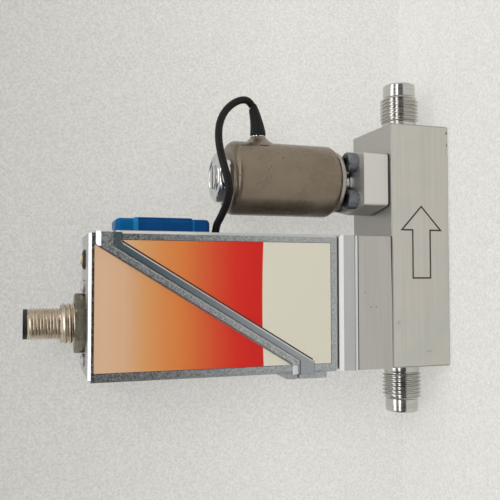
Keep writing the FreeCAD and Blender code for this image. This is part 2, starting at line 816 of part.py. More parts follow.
def make_strap_half(side):
    """One shell's half of the raised strap: level at both ends, slanting between."""
    right, left = "housing_right", "housing_left - strap_proud"
    joint = [(left, "joint_low"), ("joint_low_x", "joint_low"),
             ("joint_high_x", "joint_high"), (right, "joint_high")]
    if side == "upper":
        edge = [(right, "joint_high + strap_end_wide"),
                ("joint_high_x - wide_bend", "joint_high + strap_end_wide"),
                ("joint_low_x - slim_bend", "joint_low + strap_end_slim"),
                (left, "joint_low + strap_end_slim")]
    else:
        edge = [(right, "joint_high - strap_end_slim"),
                ("joint_high_x + slim_bend", "joint_high - strap_end_slim"),
                ("joint_low_x + wide_bend", "joint_low - strap_end_wide"),
                (left, "joint_low - strap_end_wide")]
    rise = "strap_%s_rise" % side
    half = padded("strap_" + side, "XZ_Plane", joint + edge, "housing_depth + 2 * " + rise)
    return soften(half, "Chamfer", "strap_bevel", facing_rim(size("housing_depth") / 2 + size(rise)))


def make_strap_slopes():
    """Wedges that slope the two end faces of the upper half down to the housing's faces."""
    root, crest = "(housing_depth / 2 + strap_root)", "(housing_depth / 2 + strap_upper_rise)"
    wedges = []
    for name, end, middle, length in (
            ("high", "joint_high + strap_end_wide", "housing_right", "4 * strap_end_wide"),
            ("low", "joint_low + strap_end_slim",
             "(joint_low_x - slim_bend + housing_left - 1) / 2", "joint_low_x - slim_bend - housing_left + 1")):
        for side, sign in (("front", "-"), ("back", "")):
            corners = [(sign + crest, end + " - strap_end_slope"), (sign + root, end),
                       (sign + root, end + " + 1"), ("%s(%s + 1)" % (sign, crest), end + " + 1"),
                       ("%s(%s + 1)" % (sign, crest), end + " - strap_end_slope")]
            wedge = padded("strap_slope_%s_%s" % (name, side), "YZ_Plane", corners, length)
            wedges.append(put(wedge, middle))
    return wedges


def joint_corners(shift):
    """The joint line between the shells, as a path of four points moved up by shift."""
    return [("housing_right + 5", "joint_high + " + shift), ("joint_high_x", "joint_high + " + shift),
            ("joint_low_x", "joint_low + " + shift), ("housing_left - 5", "joint_low + " + shift)]


def label_corners(side, gap):
    """Outline of a label field, beside the strap and inside the rim, shrunk by gap."""
    slant = "(%s) * sqrt(1 + 1 / strap_slope ^ 2)" % gap
    if side == "upper":
        top = "housing_top - label_top_rim - (%s)" % gap
        low = "joint_low + strap_end_slim + (%s)" % gap
        left = "housing_left + label_rim + (%s)" % gap
        edge = "joint_high_x - strap_half_run - %s" % slant
        foot = "max(%s; joint_high + (%s - (%s)) * strap_slope)" % (low, left, edge)
        return [(left, top), (left, foot),
                ("%s + (%s - joint_high) / strap_slope" % (edge, "(%s)" % top), top)]
    low = "housing_floor + label_rim + (%s)" % gap
    left = "housing_left + label_rim + (%s)" % gap
    right = "housing_right - label_rim - (%s)" % gap
    bottom_turn = "joint_low - strap_end_wide - (%s)" % gap
    top_turn = "joint_high - strap_end_slim - (%s)" % gap
    edge = "joint_high_x + strap_half_run + %s + (%s - joint_high) / strap_slope"
    return [(right, low), (left, low), (left, bottom_turn),
            (edge % (slant, "(%s)" % bottom_turn), bottom_turn),
            (edge % (slant, "(%s)" % top_turn), top_turn), (right, top_turn)]


def make_housing():
    block = padded("housing_block", "XZ_Plane", [
        ("housing_left", "housing_floor"), ("housing_right", "housing_floor"),
        ("housing_right", "housing_top"), ("housing_left", "housing_top")], "housing_depth")
    soften(block, "Chamfer", "housing_bevel", lambda edge: True)
    straps = [cut("strap_upper_sloped", make_strap_half("upper"), *make_strap_slopes()),
              make_strap_half("lower")]
    hook = padded("housing_hook", "XZ_Plane", [
        ("housing_left + 1", "housing_floor + hook_lift"),
        ("housing_left - hook_proud", "housing_floor + hook_lift"),
        ("housing_left - hook_proud", "housing_floor + hook_lift + hook_height - 2 * hook_proud"),
        ("housing_left", "housing_floor + hook_lift + hook_height"),
        ("housing_left + 1", "housing_floor + hook_lift + hook_height")],
        "housing_depth - 2 * housing_bevel")
    cavity = box("housing_cavity", "housing_width - 2 * housing_wall",
                 "housing_depth - 2 * housing_wall", "housing_height - 2 * housing_wall",
                 "stack_x", "0", "housing_floor + housing_wall")
    form = cut("housing_form", fuse("housing_outside", block, *straps, hook), cavity,
               make_label_recess(), make_joint_groove(), *make_housing_openings())
    above = padded("above_joint", "XZ_Plane", joint_corners("0") + [
        ("housing_left - 5", "housing_top + 5"), ("housing_right + 5", "housing_top + 5")],
        "housing_depth + 10")
    upper = common("housing_upper_shell", form, above)
    lower_walls = cut("lower_walls", form, above)
    bosses = [rod("board_boss_" + name, "board_boss_radius",
                  "housing_depth / 2 - housing_wall - board_offset - board_thickness / 2",
                  x, "housing_depth / 2 - housing_wall", z, "-Y")
              for name, x, z in board_screw_places()]
    tapped = [rod("boss_tapped_" + name, "top_screw_radius + screw_play", "boss_thread_depth",
                  x, "board_offset + board_thickness / 2", z, "+Y")
              for name, x, z in board_screw_places()]
    lower = cut("housing_lower_shell", fuse("lower_with_bosses", lower_walls, *bosses), *tapped)
    return upper, lower


def facing_rim(reach):
    """Picks the edges that lie wholly in the front or back face of a prism."""
    def wanted(edge):
        return all(abs(abs(vertex.Point.y) - reach) < 0.001 for vertex in edge.Vertexes)
    return wanted


def make_label_recess():
    """Shallow fields in the front and back faces, where labels are stuck."""
    core = box("recess_core", "housing_width + 20", "housing_depth - 2 * label_recess",
               "housing_height + 20", "stack_x", "0", "housing_floor - 10")
    fields = [padded("recess_" + side, "XZ_Plane", label_corners(side, "0"), "housing_depth + 1")
              for side in ("upper", "lower")]
    return cut("label_recess_tool", fuse("recess_fields", *fields), core)


def make_joint_groove():
    """A narrow groove along the joint, so the two castings read as two."""
    high = joint_corners("joint_groove_run")
    low = joint_corners("-joint_groove_run")
    band = padded("groove_band", "XZ_Plane", high + low[::-1], "housing_depth + 10")
    core = box("groove_core", "housing_width + 2 * strap_proud - 2 * joint_groove_depth",
               "housing_depth + 2 * strap_lower_rise - 2 * joint_groove_depth", "housing_height + 20",
               "stack_x", "0", "housing_floor - 10")
    return cut("joint_groove_tool", band, core)


def make_housing_openings():
    wall_reach = "housing_wall + 2"
    tools = [
        rod("connector_hole", "connector_collar_radius + 0.1", wall_reach,
            "connector_x", "0", "housing_ceiling - 1"),
        rod("button_hole", "button_radius + button_play", wall_reach,
            "button_x", "0", "housing_ceiling - 1"),
        rod("cable_hole", "grommet_barrel_radius + screw_play", wall_reach,
            "housing_right - housing_wall - 1", "-cable_entry_offset", "cable_entry_height", "+X"),
        box("dsub_hole", "housing_wall + 2", "2 * dsub_shell_half_width + 2",
            "2 * dsub_shell_half_length + 2", "housing_right - housing_wall / 2", "0",
            "dsub_height - dsub_shell_half_length - 1"),
        box("sensor_lead_slot", "12", "6", "housing_wall + 1", "stack_x", "0", "housing_floor - 0.5"),
    ]
    for side, sign in (("low", "-"), ("high", "+")):
        tools.append(rod("dsub_jack_hole_" + side, "top_screw_radius + screw_play",
                         "housing_wall + 2", "housing_right - housing_wall - 1", "0",
                         "dsub_height %s dsub_jack_pitch / 2" % sign, "+X"))
    for name, x, y in top_screw_places():
        tools.append(rod("top_clear_" + name, "top_screw_radius + screw_play", wall_reach,
                         x, y, "housing_ceiling - 1"))
    for name, x, y in foot_screw_places():
        tools.append(rod("floor_tapped_" + name, "top_screw_radius + screw_play",
                         "housing_wall + 1", x, y, "housing_floor - 0.5"))
    return tools


def top_screw_places():
    return [("left", "connector_x - top_screw_pitch / 2", "0"),
            ("right", "connector_x + top_screw_pitch / 2", "0")]


def board_screw_places():
    return [("low", "stack_x - board_width / 4", "board_floor + board_screw_lift"),
            ("high", "stack_x + board_width / 2 - board_screw_side", "board_floor + board_height / 2")]


def make_label(side):
    corners = label_corners(side, "label_gap")
    label = padded("front_label_" + side, "XZ_Plane", corners, "label_thickness")
    return put(label, "0", "label_recess - housing_depth / 2 - label_thickness / 2", "0")


# Electronics inside the housing

def make_board():
    """The board, with an ear that reaches up behind the button's switch."""
    board = box("board_blank", "board_width", "board_thickness", "board_height",
                "stack_x", "board_offset", "board_floor")
    ear = box("board_ear", "switch_size", "board_thickness", "switch_top - board_top + board_margin",
              "button_x", "board_offset", "board_top - board_margin")
    holes = [rod("board_hole_" + name, "top_screw_radius + 0.15", "board_thickness + 1",
                 x, "board_front - 0.5", z, "+Y") for name, x, z in board_screw_places()]
    return cut("circuit_board", fuse("board_sheet", board, ear), *holes)


def make_board_parts():
    """Chips, a coil driver and two capacitors, placed by shares of the board and the chip size."""
    chips = [("processor", 1, 0.13, 1, -0.1, 0.41), ("converter", 0.67, 0.12, 0.5, 0.2, 0.62),
             ("memory", 0.42, 0.12, 0.33, -0.36, 0.635), ("driver", 0.58, 0.18, 0.75, 0.31, 0.27),
             ("amplifier", 0.5, 0.12, 0.42, -0.2, 0.15)]
    parts = []
    for name, length, height, tall, across, up in chips:
        parts.append(box("chip_" + name, "%g * chip_size" % length, "%g * chip_size" % height,
                         "%g * chip_size" % tall, "stack_x + %g * board_width" % across,
                         "board_front - %g * chip_size" % (height / 2),
                         "board_floor + %g * board_height" % up))
    for name, radius, height, across, up in [("bulk", 0.33, 0.67, -0.31, 0.89),
                                             ("filter", 0.25, 0.58, 0.05, 0.86)]:
        parts.append(rod("capacitor_" + name, "%g * chip_size" % radius, "%g * chip_size" % height,
                         "stack_x + %g * board_width" % across, "board_front",
                         "board_floor + %g * board_height" % up, "-Y"))
    return group("board_components", *parts)


def make_board_screws():
    screws = []
    for name, x, z in board_screw_places():
        head = rod("board_screw_head_" + name, "top_screw_head_radius", "top_screw_head_height",
                   x, "board_front", z, "-Y")
        stem = rod("board_screw_stem_" + name, "top_screw_radius", "board_thickness + board_screw_grip",
                   x, "board_front", z, "+Y")
        screws.append(fuse("board_screw_" + name, head, stem))
    return group("board_screws", *screws)


# Round connector on the top, with its nut, liner, pins and seal

def make_connector():
    collar_top = "connector_collar_height"
    rim = collar_top + " + connector_thread_length"
    floor = rim + " + connector_lip - connector_socket_depth"
    under = "-housing_wall"
    shell = turned("round_connector_shell", [
        ("0", under + " - connector_tail"), ("connector_collar_radius", under + " - connector_tail"),
        ("connector_collar_radius", under + " - connector_flange_thickness - 0.2"),
        ("connector_flange_radius", under + " - connector_flange_thickness - 0.2"),
        ("connector_flange_radius", under + " - 0.2"), ("connector_collar_radius", under + " - 0.2"),
        ("connector_collar_radius", collar_top), ("connector_thread_radius", collar_top),
        ("connector_thread_radius", rim), ("connector_socket_radius", rim),
        ("connector_socket_radius", floor), ("0", floor)])
    put(shell, "connector_x", "0", "housing_top")
    bore = "connector_socket_radius - connector_liner_wall"
    liner = turned("round_connector_liner", [
        ("0", floor), ("connector_socket_radius - 0.05", floor),
        ("connector_socket_radius - 0.05", rim), ("connector_thread_radius - 0.3", rim),
        ("connector_thread_radius - 0.3", rim + " + connector_lip"), (bore, rim + " + connector_lip"),
        (bore, floor + " + 1"), ("0", floor + " + 1")])
    put(liner, "connector_x", "0", "housing_top")
    pins = []
    count = int(size("connector_pin_count"))
    for number in range(count):
        turn = 360.0 * number / count
        x = "connector_x + connector_pin_circle * cos(%g deg)" % turn
        y = "connector_pin_circle * sin(%g deg)" % turn
        pins.append(rod("connector_pin_%d" % (number + 1), "connector_pin_radius",
                        "connector_pin_length", x, y, "housing_top + (%s) + 1" % floor))
    blank = hexagon("connector_nut_blank", "connector_nut_flats", "connector_nut_height",
                    "connector_x", "0", "housing_top")
    hole = rod("connector_nut_hole", "connector_collar_radius + screw_play", "connector_nut_height",
               "connector_x", "0", "housing_top")
    nut = cut("round_connector_nut", blank, hole)
    return shell, liner, group("round_connector_pins", *pins), nut


def make_top_screws():
    screws = []
    for name, x, y in top_screw_places():
        head = turned("top_screw_head_" + name, [
            ("0", "0"), ("top_screw_head_radius", "0"),
            ("top_screw_head_radius", "top_screw_head_height / 2"),
            ("top_screw_head_radius * 0.6", "top_screw_head_height"), ("0", "top_screw_head_height")])
        put(head, x, y, "housing_top")
        stem = rod("top_screw_stem_" + name, "top_screw_radius", "top_screw_length",
                   x, y, "housing_top", "-Z")
        slot = box("top_screw_slot_" + name, "2 * top_screw_head_radius + 1", "0.6",
                   "top_screw_head_height / 2", x, y,
                   "housing_top + top_screw_head_height / 2 + 0.1")
        screws.append(cut("top_screw_" + name, fuse("top_screw_blank_" + name, head, stem), slot))
    return group("housing_top_screws", *screws)


def make_bracket():
    """Sheet bracket under the lid whose lugs lie on the board's top edge."""
    top = "housing_ceiling - 0.1 - bracket_thickness"
    shelf = box("bracket_shelf", "bracket_length", "bracket_width", "bracket_thickness",
                "connector_x", "board_front - bracket_width / 2", top)
    lug = box("bracket_lug", "bracket_length", "bracket_thickness", "bracket_drop",
              "connector_x", "board_front - bracket_thickness / 2",
              top + " - bracket_drop + bracket_thickness")
    hole = rod("bracket_hole", "connector_flange_radius + 0.3", "bracket_drop + 2",
               "connector_x", "0", top + " - bracket_drop")
    taps = [rod("bracket_tap_" + name, "top_screw_radius + screw_play", "4",
                x, y, top + " - 1") for name, x, y in top_screw_places()]
    return cut("board_bracket", fuse("bracket_sheet", shelf, lug), hole, *taps)


def make_button():
    """Push button, its bezel on the lid and the switch that it presses."""
    collar_floor = "-housing_wall - screw_play - button_collar_height"
    button = turned("push_button", [
        ("0", collar_floor), ("button_collar_radius", collar_floor),
        ("button_collar_radius", "-housing_wall - screw_play"),
        ("button_radius", "-housing_wall - screw_play"), ("button_radius", "button_rise"),
        ("0", "button_rise")])
    soften(button, "Fillet", "button_radius / 4", circle_at(size("button_radius"), size("button_rise")))
    put(button, "button_x", "0", "housing_top")
    bezel = turned("button_bezel", [
        ("button_radius + button_play", "0"), ("bezel_radius", "0"),
        ("bezel_top_radius", "bezel_height"), ("button_radius + button_play", "bezel_height")])
    put(bezel, "button_x", "0", "housing_top")
    switch = box("button_switch", "switch_size", "switch_size", "switch_height", "button_x",
                 "board_front - switch_size / 2", "switch_top - switch_height")
    return button, bezel, switch


# Side connector and dust cap

def dsub_outline(name, grow, length, x):
    """The connector's slanted outline, grown by a wall or a play, as a bar along X."""
    half_long = "(dsub_shell_half_length + (%s))" % grow
    half_short = "(dsub_shell_half_length - dsub_shell_taper + (%s))" % grow
    half_wide = "(dsub_shell_half_width + (%s))" % grow
    corners = [("-" + half_wide, "-" + half_long), (half_wide, "-" + half_short),
               (half_wide, half_short), ("-" + half_wide, half_long)]
    bar = padded(name, "YZ_Plane", corners, length)
    soften(bar, "Fillet", "1.6 + (%s)" % grow, line_along("x"))
    return put(bar, "%s + (%s) / 2" % (x, length), "0", "dsub_height")


def jack_places():
    return [(side, "dsub_height %s dsub_jack_pitch / 2" % sign)
            for side, sign in (("low", "-"), ("high", "+"))]


def make_dsub():
    plate = box("dsub_plate", "dsub_flange_thickness", "dsub_flange_width", "dsub_flange_length",
                "housing_right + dsub_flange_thickness / 2", "0", "dsub_height - dsub_flange_length / 2")
    outer = dsub_outline("dsub_skirt", "0", "dsub_flange_thickness + dsub_shell_reach", "housing_right")
    inner = dsub_outline("dsub_inside", "-dsub_shell_wall",
                         "dsub_flange_thickness + dsub_shell_reach + 1", "housing_right - 0.5")
    holes = [rod("dsub_plate_hole_" + side, "top_screw_radius + 0.15", "dsub_flange_thickness + 1",
                 "housing_right - 0.5", "0", z, "+X") for side, z in jack_places()]
    shell = cut("dsub_shell", fuse("dsub_metal", plate, outer), inner, *holes)
    block = dsub_outline("dsub_block", "-dsub_shell_wall - screw_play",
                         "dsub_flange_thickness + dsub_shell_reach + housing_wall", "housing_right - housing_wall - 0.3")
    contacts = []
    for row, count, y in (("wide", 5, "-dsub_row_offset"), ("narrow", 4, "dsub_row_offset")):
        for number in range(count):
            z = "dsub_height + dsub_contact_pitch * %g" % (number - (count - 1) / 2)
            contacts.append(rod("dsub_contact_%s_%d" % (row, number + 1), "dsub_contact_radius", "4",
                                "housing_right + dsub_flange_thickness + dsub_shell_reach", y, z, "-X"))
    return shell, cut("dsub_insert", block, *contacts)


def make_jacks():
    jacks = []
    for side, z in jack_places():
        post = hexagon("jack_post_" + side, "dsub_jack_flats", "dsub_jack_reach",
                       "housing_right + dsub_flange_thickness", "0", z, "+X")
        stem = rod("jack_stem_" + side, "top_screw_radius",
                   "housing_wall + dsub_flange_thickness + 0.5",
                   "housing_right + dsub_flange_thickness", "0", z, "-X")
        jacks.append(fuse("jack_" + side, post, stem))
    return group("dsub_jack_posts", *jacks)


def outer_rim(reach):
    """Picks the edges that lie wholly in the face at this x on the piece's axis."""
    def wanted(edge):
        return all(abs(vertex.Point.x - reach) < 0.001 for vertex in edge.Vertexes)
    return wanted


def make_dust_cap():
    """Moulded dust cap: a rounded bar with a raised middle, hollow over the connector."""
    seat = "housing_right + dsub_flange_thickness"
    reach = "cap_reach - dsub_flange_thickness"
    bar = padded("cap_bar", "YZ_Plane", [
        ("-cap_width / 2", "-cap_length / 2"), ("cap_width / 2", "-cap_length / 2"),
        ("cap_width / 2", "cap_length / 2"), ("-cap_width / 2", "cap_length / 2")], reach)
    soften(bar, "Fillet", "cap_round * 1.6", line_along("x"))
    outer = size("cap_reach") - size("dsub_flange_thickness")
    soften(bar, "Fillet", "cap_round", outer_rim(outer / 2))
    put(bar, "%s + (%s) / 2" % (seat, reach), "0", "dsub_height")
    middle = padded("cap_middle", "YZ_Plane", [
        ("cap_waist - cap_width / 2", "-cap_middle_length / 2"),
        ("cap_width / 2 - cap_waist", "-cap_middle_length / 2"),
        ("cap_width / 2 - cap_waist", "cap_middle_length / 2"),
        ("cap_waist - cap_width / 2", "cap_middle_length / 2")], reach + " + cap_middle_rise")
    soften(middle, "Fillet", "cap_round", line_along("x"))
    soften(middle, "Fillet", "cap_middle_rise", outer_rim((outer + size("cap_middle_rise")) / 2))
    put(middle, "%s + (%s + cap_middle_rise) / 2" % (seat, reach), "0", "dsub_height")
    hollow = dsub_outline("cap_hollow", "cap_play", "dsub_shell_reach + cap_play / 4 + 0.01", seat + " - 0.01")
    wells = [rod("cap_well_" + side, "(dsub_jack_flats + cap_play) / sqrt(3)",
                 "dsub_jack_reach + cap_play / 2", seat, "0", z, "+X") for side, z in jack_places()]
    return cut("dust_cap", fuse("cap_blank", bar, middle), hollow, *wells)


# Control valve: block, sleeve, orifice, plunger and spring

def make_valve_block():
    """Clamp block in plan wider at its waist than at its front, bored for sleeve and screws."""
    half = "valve_block_depth / 2"
    front, waist = "valve_block_front / 2", "valve_block_waist / 2"
    body = new_body("valve_block_blank")
    sketch = outline(body, "valve_block_plan", "XY_Plane", [
        ("-" + front, "-" + half), (front, "-" + half), (waist, "0"),
        (front, half), ("-" + front, half), ("-" + waist, "0")])
    pad = body.newObject("PartDesign::Pad", "valve_block_pad")
    pad.Profile = sketch
    bind(pad, Length="valve_block_height")
    soften(body, "Fillet", "valve_block_round", line_along("z"))
    soften(body, "Chamfer", "valve_block_foot",
           lambda edge: all(abs(vertex.Point.z) < 0.001 for vertex in edge.Vertexes))
    put(body, "valve_x", "0", "base_height")
    tools = [
        rod("block_sleeve_bore", "sleeve_radius + 0.1", "valve_block_height", "valve_x", "0", "base_height"),
        rod("block_flange_bore", "sleeve_flange_radius + 0.1", "sleeve_flange_height + 0.05",
            "valve_x", "0", "base_height"),
    ]
    for name, x, y in valve_screw_places():
        tools.append(rod("clear_" + name, "screw_radius + 0.2", "valve_block_height", x, y, "base_height"))
    return cut("valve_block", body, *tools)


def make_sleeve():
    """Guide tube of the plunger, clamped by its flange under the valve block."""
    sleeve = turned("valve_sleeve", [
        ("sleeve_bore", "0"), ("sleeve_flange_radius", "0"),
        ("sleeve_flange_radius", "sleeve_flange_height"), ("sleeve_radius", "sleeve_flange_height"),
        ("sleeve_radius", "coil_top - base_height - coil_end_wall"),
        ("sleeve_bore", "coil_top - base_height - coil_end_wall")])
    return put(sleeve, "valve_x", "0", "base_height")


def make_orifice():
    orifice = turned("valve_orifice", [
        ("orifice_bore", "-orifice_depth"), ("orifice_radius", "-orifice_depth"),
        ("orifice_radius", "0"), ("orifice_bore + 0.5", "orifice_rise"),
        ("orifice_bore", "orifice_rise")])
    return put(orifice, "valve_x", "0", "base_height")


def make_plunger():
    radius = "sleeve_bore - plunger_play"
    plunger = turned("valve_plunger", [
        ("0", "plunger_seal_height - plunger_seal_proud"),
        ("plunger_seal_radius + screw_play", "plunger_seal_height - plunger_seal_proud"),
        ("plunger_seal_radius + screw_play", "0"), (radius + " - 0.6", "0"),
        (radius, "0.6"), (radius, "plunger_length"), ("spring_well_radius", "plunger_length"),
        ("spring_well_radius", "plunger_length - spring_well_depth"),
        ("0", "plunger_length - spring_well_depth")])
    put(plunger, "valve_x", "0", "plunger_floor")
    seal = rod("plunger_seal", "plunger_seal_radius", "plunger_seal_height",
               "valve_x", "0", "plunger_floor - plunger_seal_proud")
    return plunger, seal


def make_pole():
    """Fixed core that closes the sleeve and ends in the stud for the top nut."""
    weld = "coil_top - pole_floor - coil_end_wall"
    pole = turned("valve_pole", [
        ("0", "0"), ("sleeve_bore - screw_play", "0"), ("sleeve_bore - screw_play", weld),
        ("sleeve_radius", weld), ("sleeve_radius", "coil_top - pole_floor"),
        ("stud_radius", "coil_top - pole_floor"),
        ("stud_radius", "coil_top - pole_floor + nut_height + stud_proud"),
        ("0", "coil_top - pole_floor + nut_height + stud_proud")])
    put(pole, "valve_x", "0", "pole_floor")
    slot = box("stud_slot_cut", "2 * stud_radius + 1", "stud_slot", "stud_slot",
               "valve_x", "0", "coil_top + nut_height + stud_proud - stud_slot")
    return cut("valve_pole_piece", pole, slot)


def make_spring():
    """Closing spring, wound between the plunger's well and the fixed core."""
    wire = size("spring_wire")
    floor = size("plunger_top") - size("spring_well_depth") + wire
    rise = size("pole_floor") - floor - wire
    radius = size("spring_radius")
    path = Part.makeHelix(rise / size("spring_turns"), rise, radius)
    rim = Part.Wire([Part.makeCircle(wire, FreeCAD.Vector(radius, 0, 0), FreeCAD.Vector(0, 1, 0))])
    coil = Part.Wire(path).makePipeShell([rim], True, True)
    made = doc.addObject("Part::Feature", "plunger_spring")
    made.Shape = coil
    made.Placement = FreeCAD.Placement(FreeCAD.Vector(size("valve_x"), 0, floor), FreeCAD.Rotation())
    return made


# Coil: can with a flared lead boss, winding, ring and nut

def make_coil_can():
    outer = turned("coil_can_outside", [
        ("0", "0"), ("coil_radius", "0"), ("coil_radius", "coil_height"), ("0", "coil_height")])
    soften(outer, "Fillet", "coil_round", lambda edge: edge.Curve.TypeId == "Part::GeomCircle")
    put(outer, "valve_x", "0", "coil_floor")
    boss = cone("lead_boss", "boss_base_radius", "boss_top_radius", "boss_root + boss_reach",
                "boss_x - boss_root - boss_reach", "0", "boss_height", "+X")
    hollow = cut("coil_room",
                 rod("coil_room_outer", "coil_radius - coil_wall", "coil_height - 2 * coil_end_wall",
                     "valve_x", "0", "coil_floor + coil_end_wall"),
                 rod("coil_room_inner", "sleeve_radius + 0.1", "coil_height", "valve_x", "0", "coil_floor"))
    throat = rod("coil_throat", "sleeve_radius + 0.1", "coil_height", "valve_x", "0", "coil_floor")
    return cut("coil_can", fuse("coil_can_blank", outer, boss), fuse("coil_can_space", hollow, throat))


def make_bobbin():
    """Spool and copper, which fill the can between its two end walls."""
    tall = "coil_height - 2 * coil_end_wall - 2 * bobbin_play"
    bore, core = "sleeve_radius + 0.1", "sleeve_radius + 0.1 + bobbin_wall"
    rim = "coil_radius - coil_wall - bobbin_play"
    top = "(%s)" % tall
    bobbin = turned("coil_bobbin", [
        (bore, "0"), (rim, "0"), (rim, "bobbin_flange"), (core, "bobbin_flange"),
        (core, top + " - bobbin_flange"), (rim, top + " - bobbin_flange"), (rim, top), (bore, top)])
    put(bobbin, "valve_x", "0", "coil_floor + coil_end_wall + bobbin_play")
    copper = turned("coil_winding", [
        (core + " + bobbin_play", "bobbin_flange + bobbin_play"),
        (rim + " - 0.6", "bobbin_flange + bobbin_play"),
        (rim + " - 0.6", top + " - bobbin_flange - bobbin_play"),
        (core + " + bobbin_play", top + " - bobbin_flange - bobbin_play")])
    put(copper, "valve_x", "0", "coil_floor + coil_end_wall + bobbin_play")
    return bobbin, copper


def make_coil_ring():
    ring_body = turned("coil_ring", [
        ("sleeve_radius + 0.1", "-coil_ring_height"), ("coil_ring_radius", "-coil_ring_height"),
        ("coil_ring_radius", "0"), ("sleeve_radius + 0.1", "0")])
    soften(ring_body, "Fillet", "coil_ring_round",
           circle_at(size("coil_ring_radius"), -size("coil_ring_height")))
    return put(ring_body, "valve_x", "0", "coil_floor")


def make_top_nut():
    blank = hexagon("top_nut_blank", "nut_flats", "nut_height", "valve_x", "0", "coil_top")
    crown = turned("top_nut_crown", [
        ("stud_radius + screw_play", "0"), ("nut_crown_radius", "0"),
        ("nut_crown_radius", "nut_height - 1"), ("nut_crown_radius - 1.6", "nut_height"),
        ("stud_radius + screw_play", "nut_height")])
    put(crown, "valve_x", "0", "coil_top")
    return common("coil_top_nut", blank, crown)


# Lead: ferrule, shrink boot, cable and the grommet where it enters the housing

def make_ferrule():
    return rod("lead_ferrule", "ferrule_radius", "ferrule_length", "boss_x", "0", "boss_height", "+X")


def boot_heading():
    return FreeCAD.Vector(1.4, -0.2, 1.0).normalize()


def make_boot():
    """Shrunk sleeve, thick at the ferrule and slim where the cable leaves it."""
    root = FreeCAD.Vector(size("boot_x"), 0, size("boss_height"))
    tip = FreeCAD.Vector(size("boot_tip_x"), 0, size("boot_tip_height"))
    middle = (root + tip) / 2 - FreeCAD.Vector(0, 0, size("boot_lean") / 5)
    middle_radius = (size("boot_radius") + size("boot_tip_radius")) / 2
    straight = (FreeCAD.Vector(3, 0, 0) + boot_heading()).normalize()
    rims = [Part.Wire([Part.makeCircle(radius, centre, heading)]) for radius, centre, heading in (
        (size("boot_radius"), root, FreeCAD.Vector(1, 0, 0)),
        (middle_radius, middle, straight),
        (size("boot_tip_radius"), tip, boot_heading()))]
    return feature("cable_boot", Part.makeLoft(rims, True, False))


def cable_route():
    """Points of the lead: out of the boot, over in a loop, past the nut, into the housing.

    Between its straight ends each point is a share of the way, and shares of the loop's sizes.
    """
    tip = FreeCAD.Vector(size("boot_tip_x"), 0, size("boot_tip_height"))
    inside = FreeCAD.Vector(size("housing_right") - size("housing_wall"),
                            -size("cable_entry_offset"), size("cable_entry_height"))
    mouth = inside + FreeCAD.Vector(size("cable_lead_in"), 0, 0)
    shares = [(-0.048, 0.074, 0.333), (-0.023, 0.159, 0.605), (0.057, 0.299, 0.885),
              (0.172, 0.462, 1.000), (0.304, 0.657, 0.932), (0.433, 0.835, 0.751),
              (0.546, 0.961, 0.528), (0.644, 1.000, 0.308), (0.737, 0.927, 0.122),
              (0.830, 0.666, 0.016), (0.918, 0.313, -0.012)]
    points = [tip, tip + boot_heading() * size("cable_lead_out")]
    for way, side, rise in shares:
        points.append(tip + (mouth - tip) * way
                      + FreeCAD.Vector(0, -side * size("loop_side"), rise * size("loop_rise")))
    return points + [mouth, inside]


def cable_bend(run, half_turn):
    return 0.45 * run / math.tan(half_turn)


def make_cable():
    points = cable_route()
    radii = []

    def bend(run, half_turn):
        radii.append(cable_bend(run, half_turn))
        return radii[-1]

    shape, length = bent_tube(points, size("cable_radius"), bend)
    ideal = math.pi * size("cable_radius") ** 2 * length
    print("cable length %.1f, volume share %.4f" % (length, shape.Volume / ideal))
    print("cable bend radii", [round(radius, 1) for radius in radii])
    return feature("valve_cable", shape)


def make_grommet():
    grommet = turned("cable_grommet", [
        ("cable_radius + screw_play", "-housing_wall"), ("grommet_barrel_radius", "-housing_wall"),
        ("grommet_barrel_radius", "0"), ("grommet_radius", "0"),
        ("grommet_radius - 0.1", "grommet_rim"), ("cable_radius + screw_play", "grommet_rim")])
    return put(grommet, "housing_right", "-cable_entry_offset", "cable_entry_height", "+X")


def make_all():
    valve_screws = [make_cap_screw(name, x, y, "base_height + valve_block_height",
                                   "valve_block_height + screw_grip")
                    for name, x, y in valve_screw_places()]
    sink = "(foot_floor - screw_head_height - 0.3)"
    block_screws = [make_cap_screw(name, x, y, sink,
                                   "sensor_block_height - screw_head_height - 0.3 + screw_grip")
                    for name, x, y in block_screw_places()]
    valve_seal = ring("valve_block_seal", "valve_seal_radius", "valve_seal_section",
                      "valve_x", "0", "base_height - valve_seal_section")
    connector_seal = ring("round_connector_seal", "connector_collar_radius + connector_seal_section",
                          "connector_seal_section", "connector_x", "0",
                          "housing_ceiling - 0.2 - connector_flange_thickness - connector_seal_section")
    return [
        make_base(),
        make_fitting("inlet_fitting", "-base_length / 2", "-X"),
        make_fitting("outlet_fitting", "base_right", "+X"),
        make_fitting_seal("inlet_fitting_seal", "-base_length / 2", "+"),
        make_fitting_seal("outlet_fitting_seal", "base_right", "-"),
        *make_flow_path(),
        make_sensor_block(),
        make_block_seals(),
        group("sensor_block_screws", *block_screws),
        *make_capillary(),
        make_sensor_can(),
        make_foot_plate(),
        make_foot_screws(),
        *make_housing(),
        make_label("upper"),
        make_label("lower"),
        make_board(),
        make_board_parts(),
        make_board_screws(),
        make_bracket(),
        *make_connector(),
        connector_seal,
        make_top_screws(),
        *make_button(),
        *make_dsub(),
        make_jacks(),
        make_dust_cap(),
        make_valve_block(),
        valve_seal,
        group("valve_screws", *valve_screws),
        make_sleeve(),
        make_orifice(),
        *make_plunger(),
        make_pole(),
        make_spring(),
        make_coil_can(),
        *make_bobbin(),
        make_coil_ring(),
        make_top_nut(),
        make_ferrule(),
        make_boot(),
        make_cable(),
        make_grommet(),
    ]


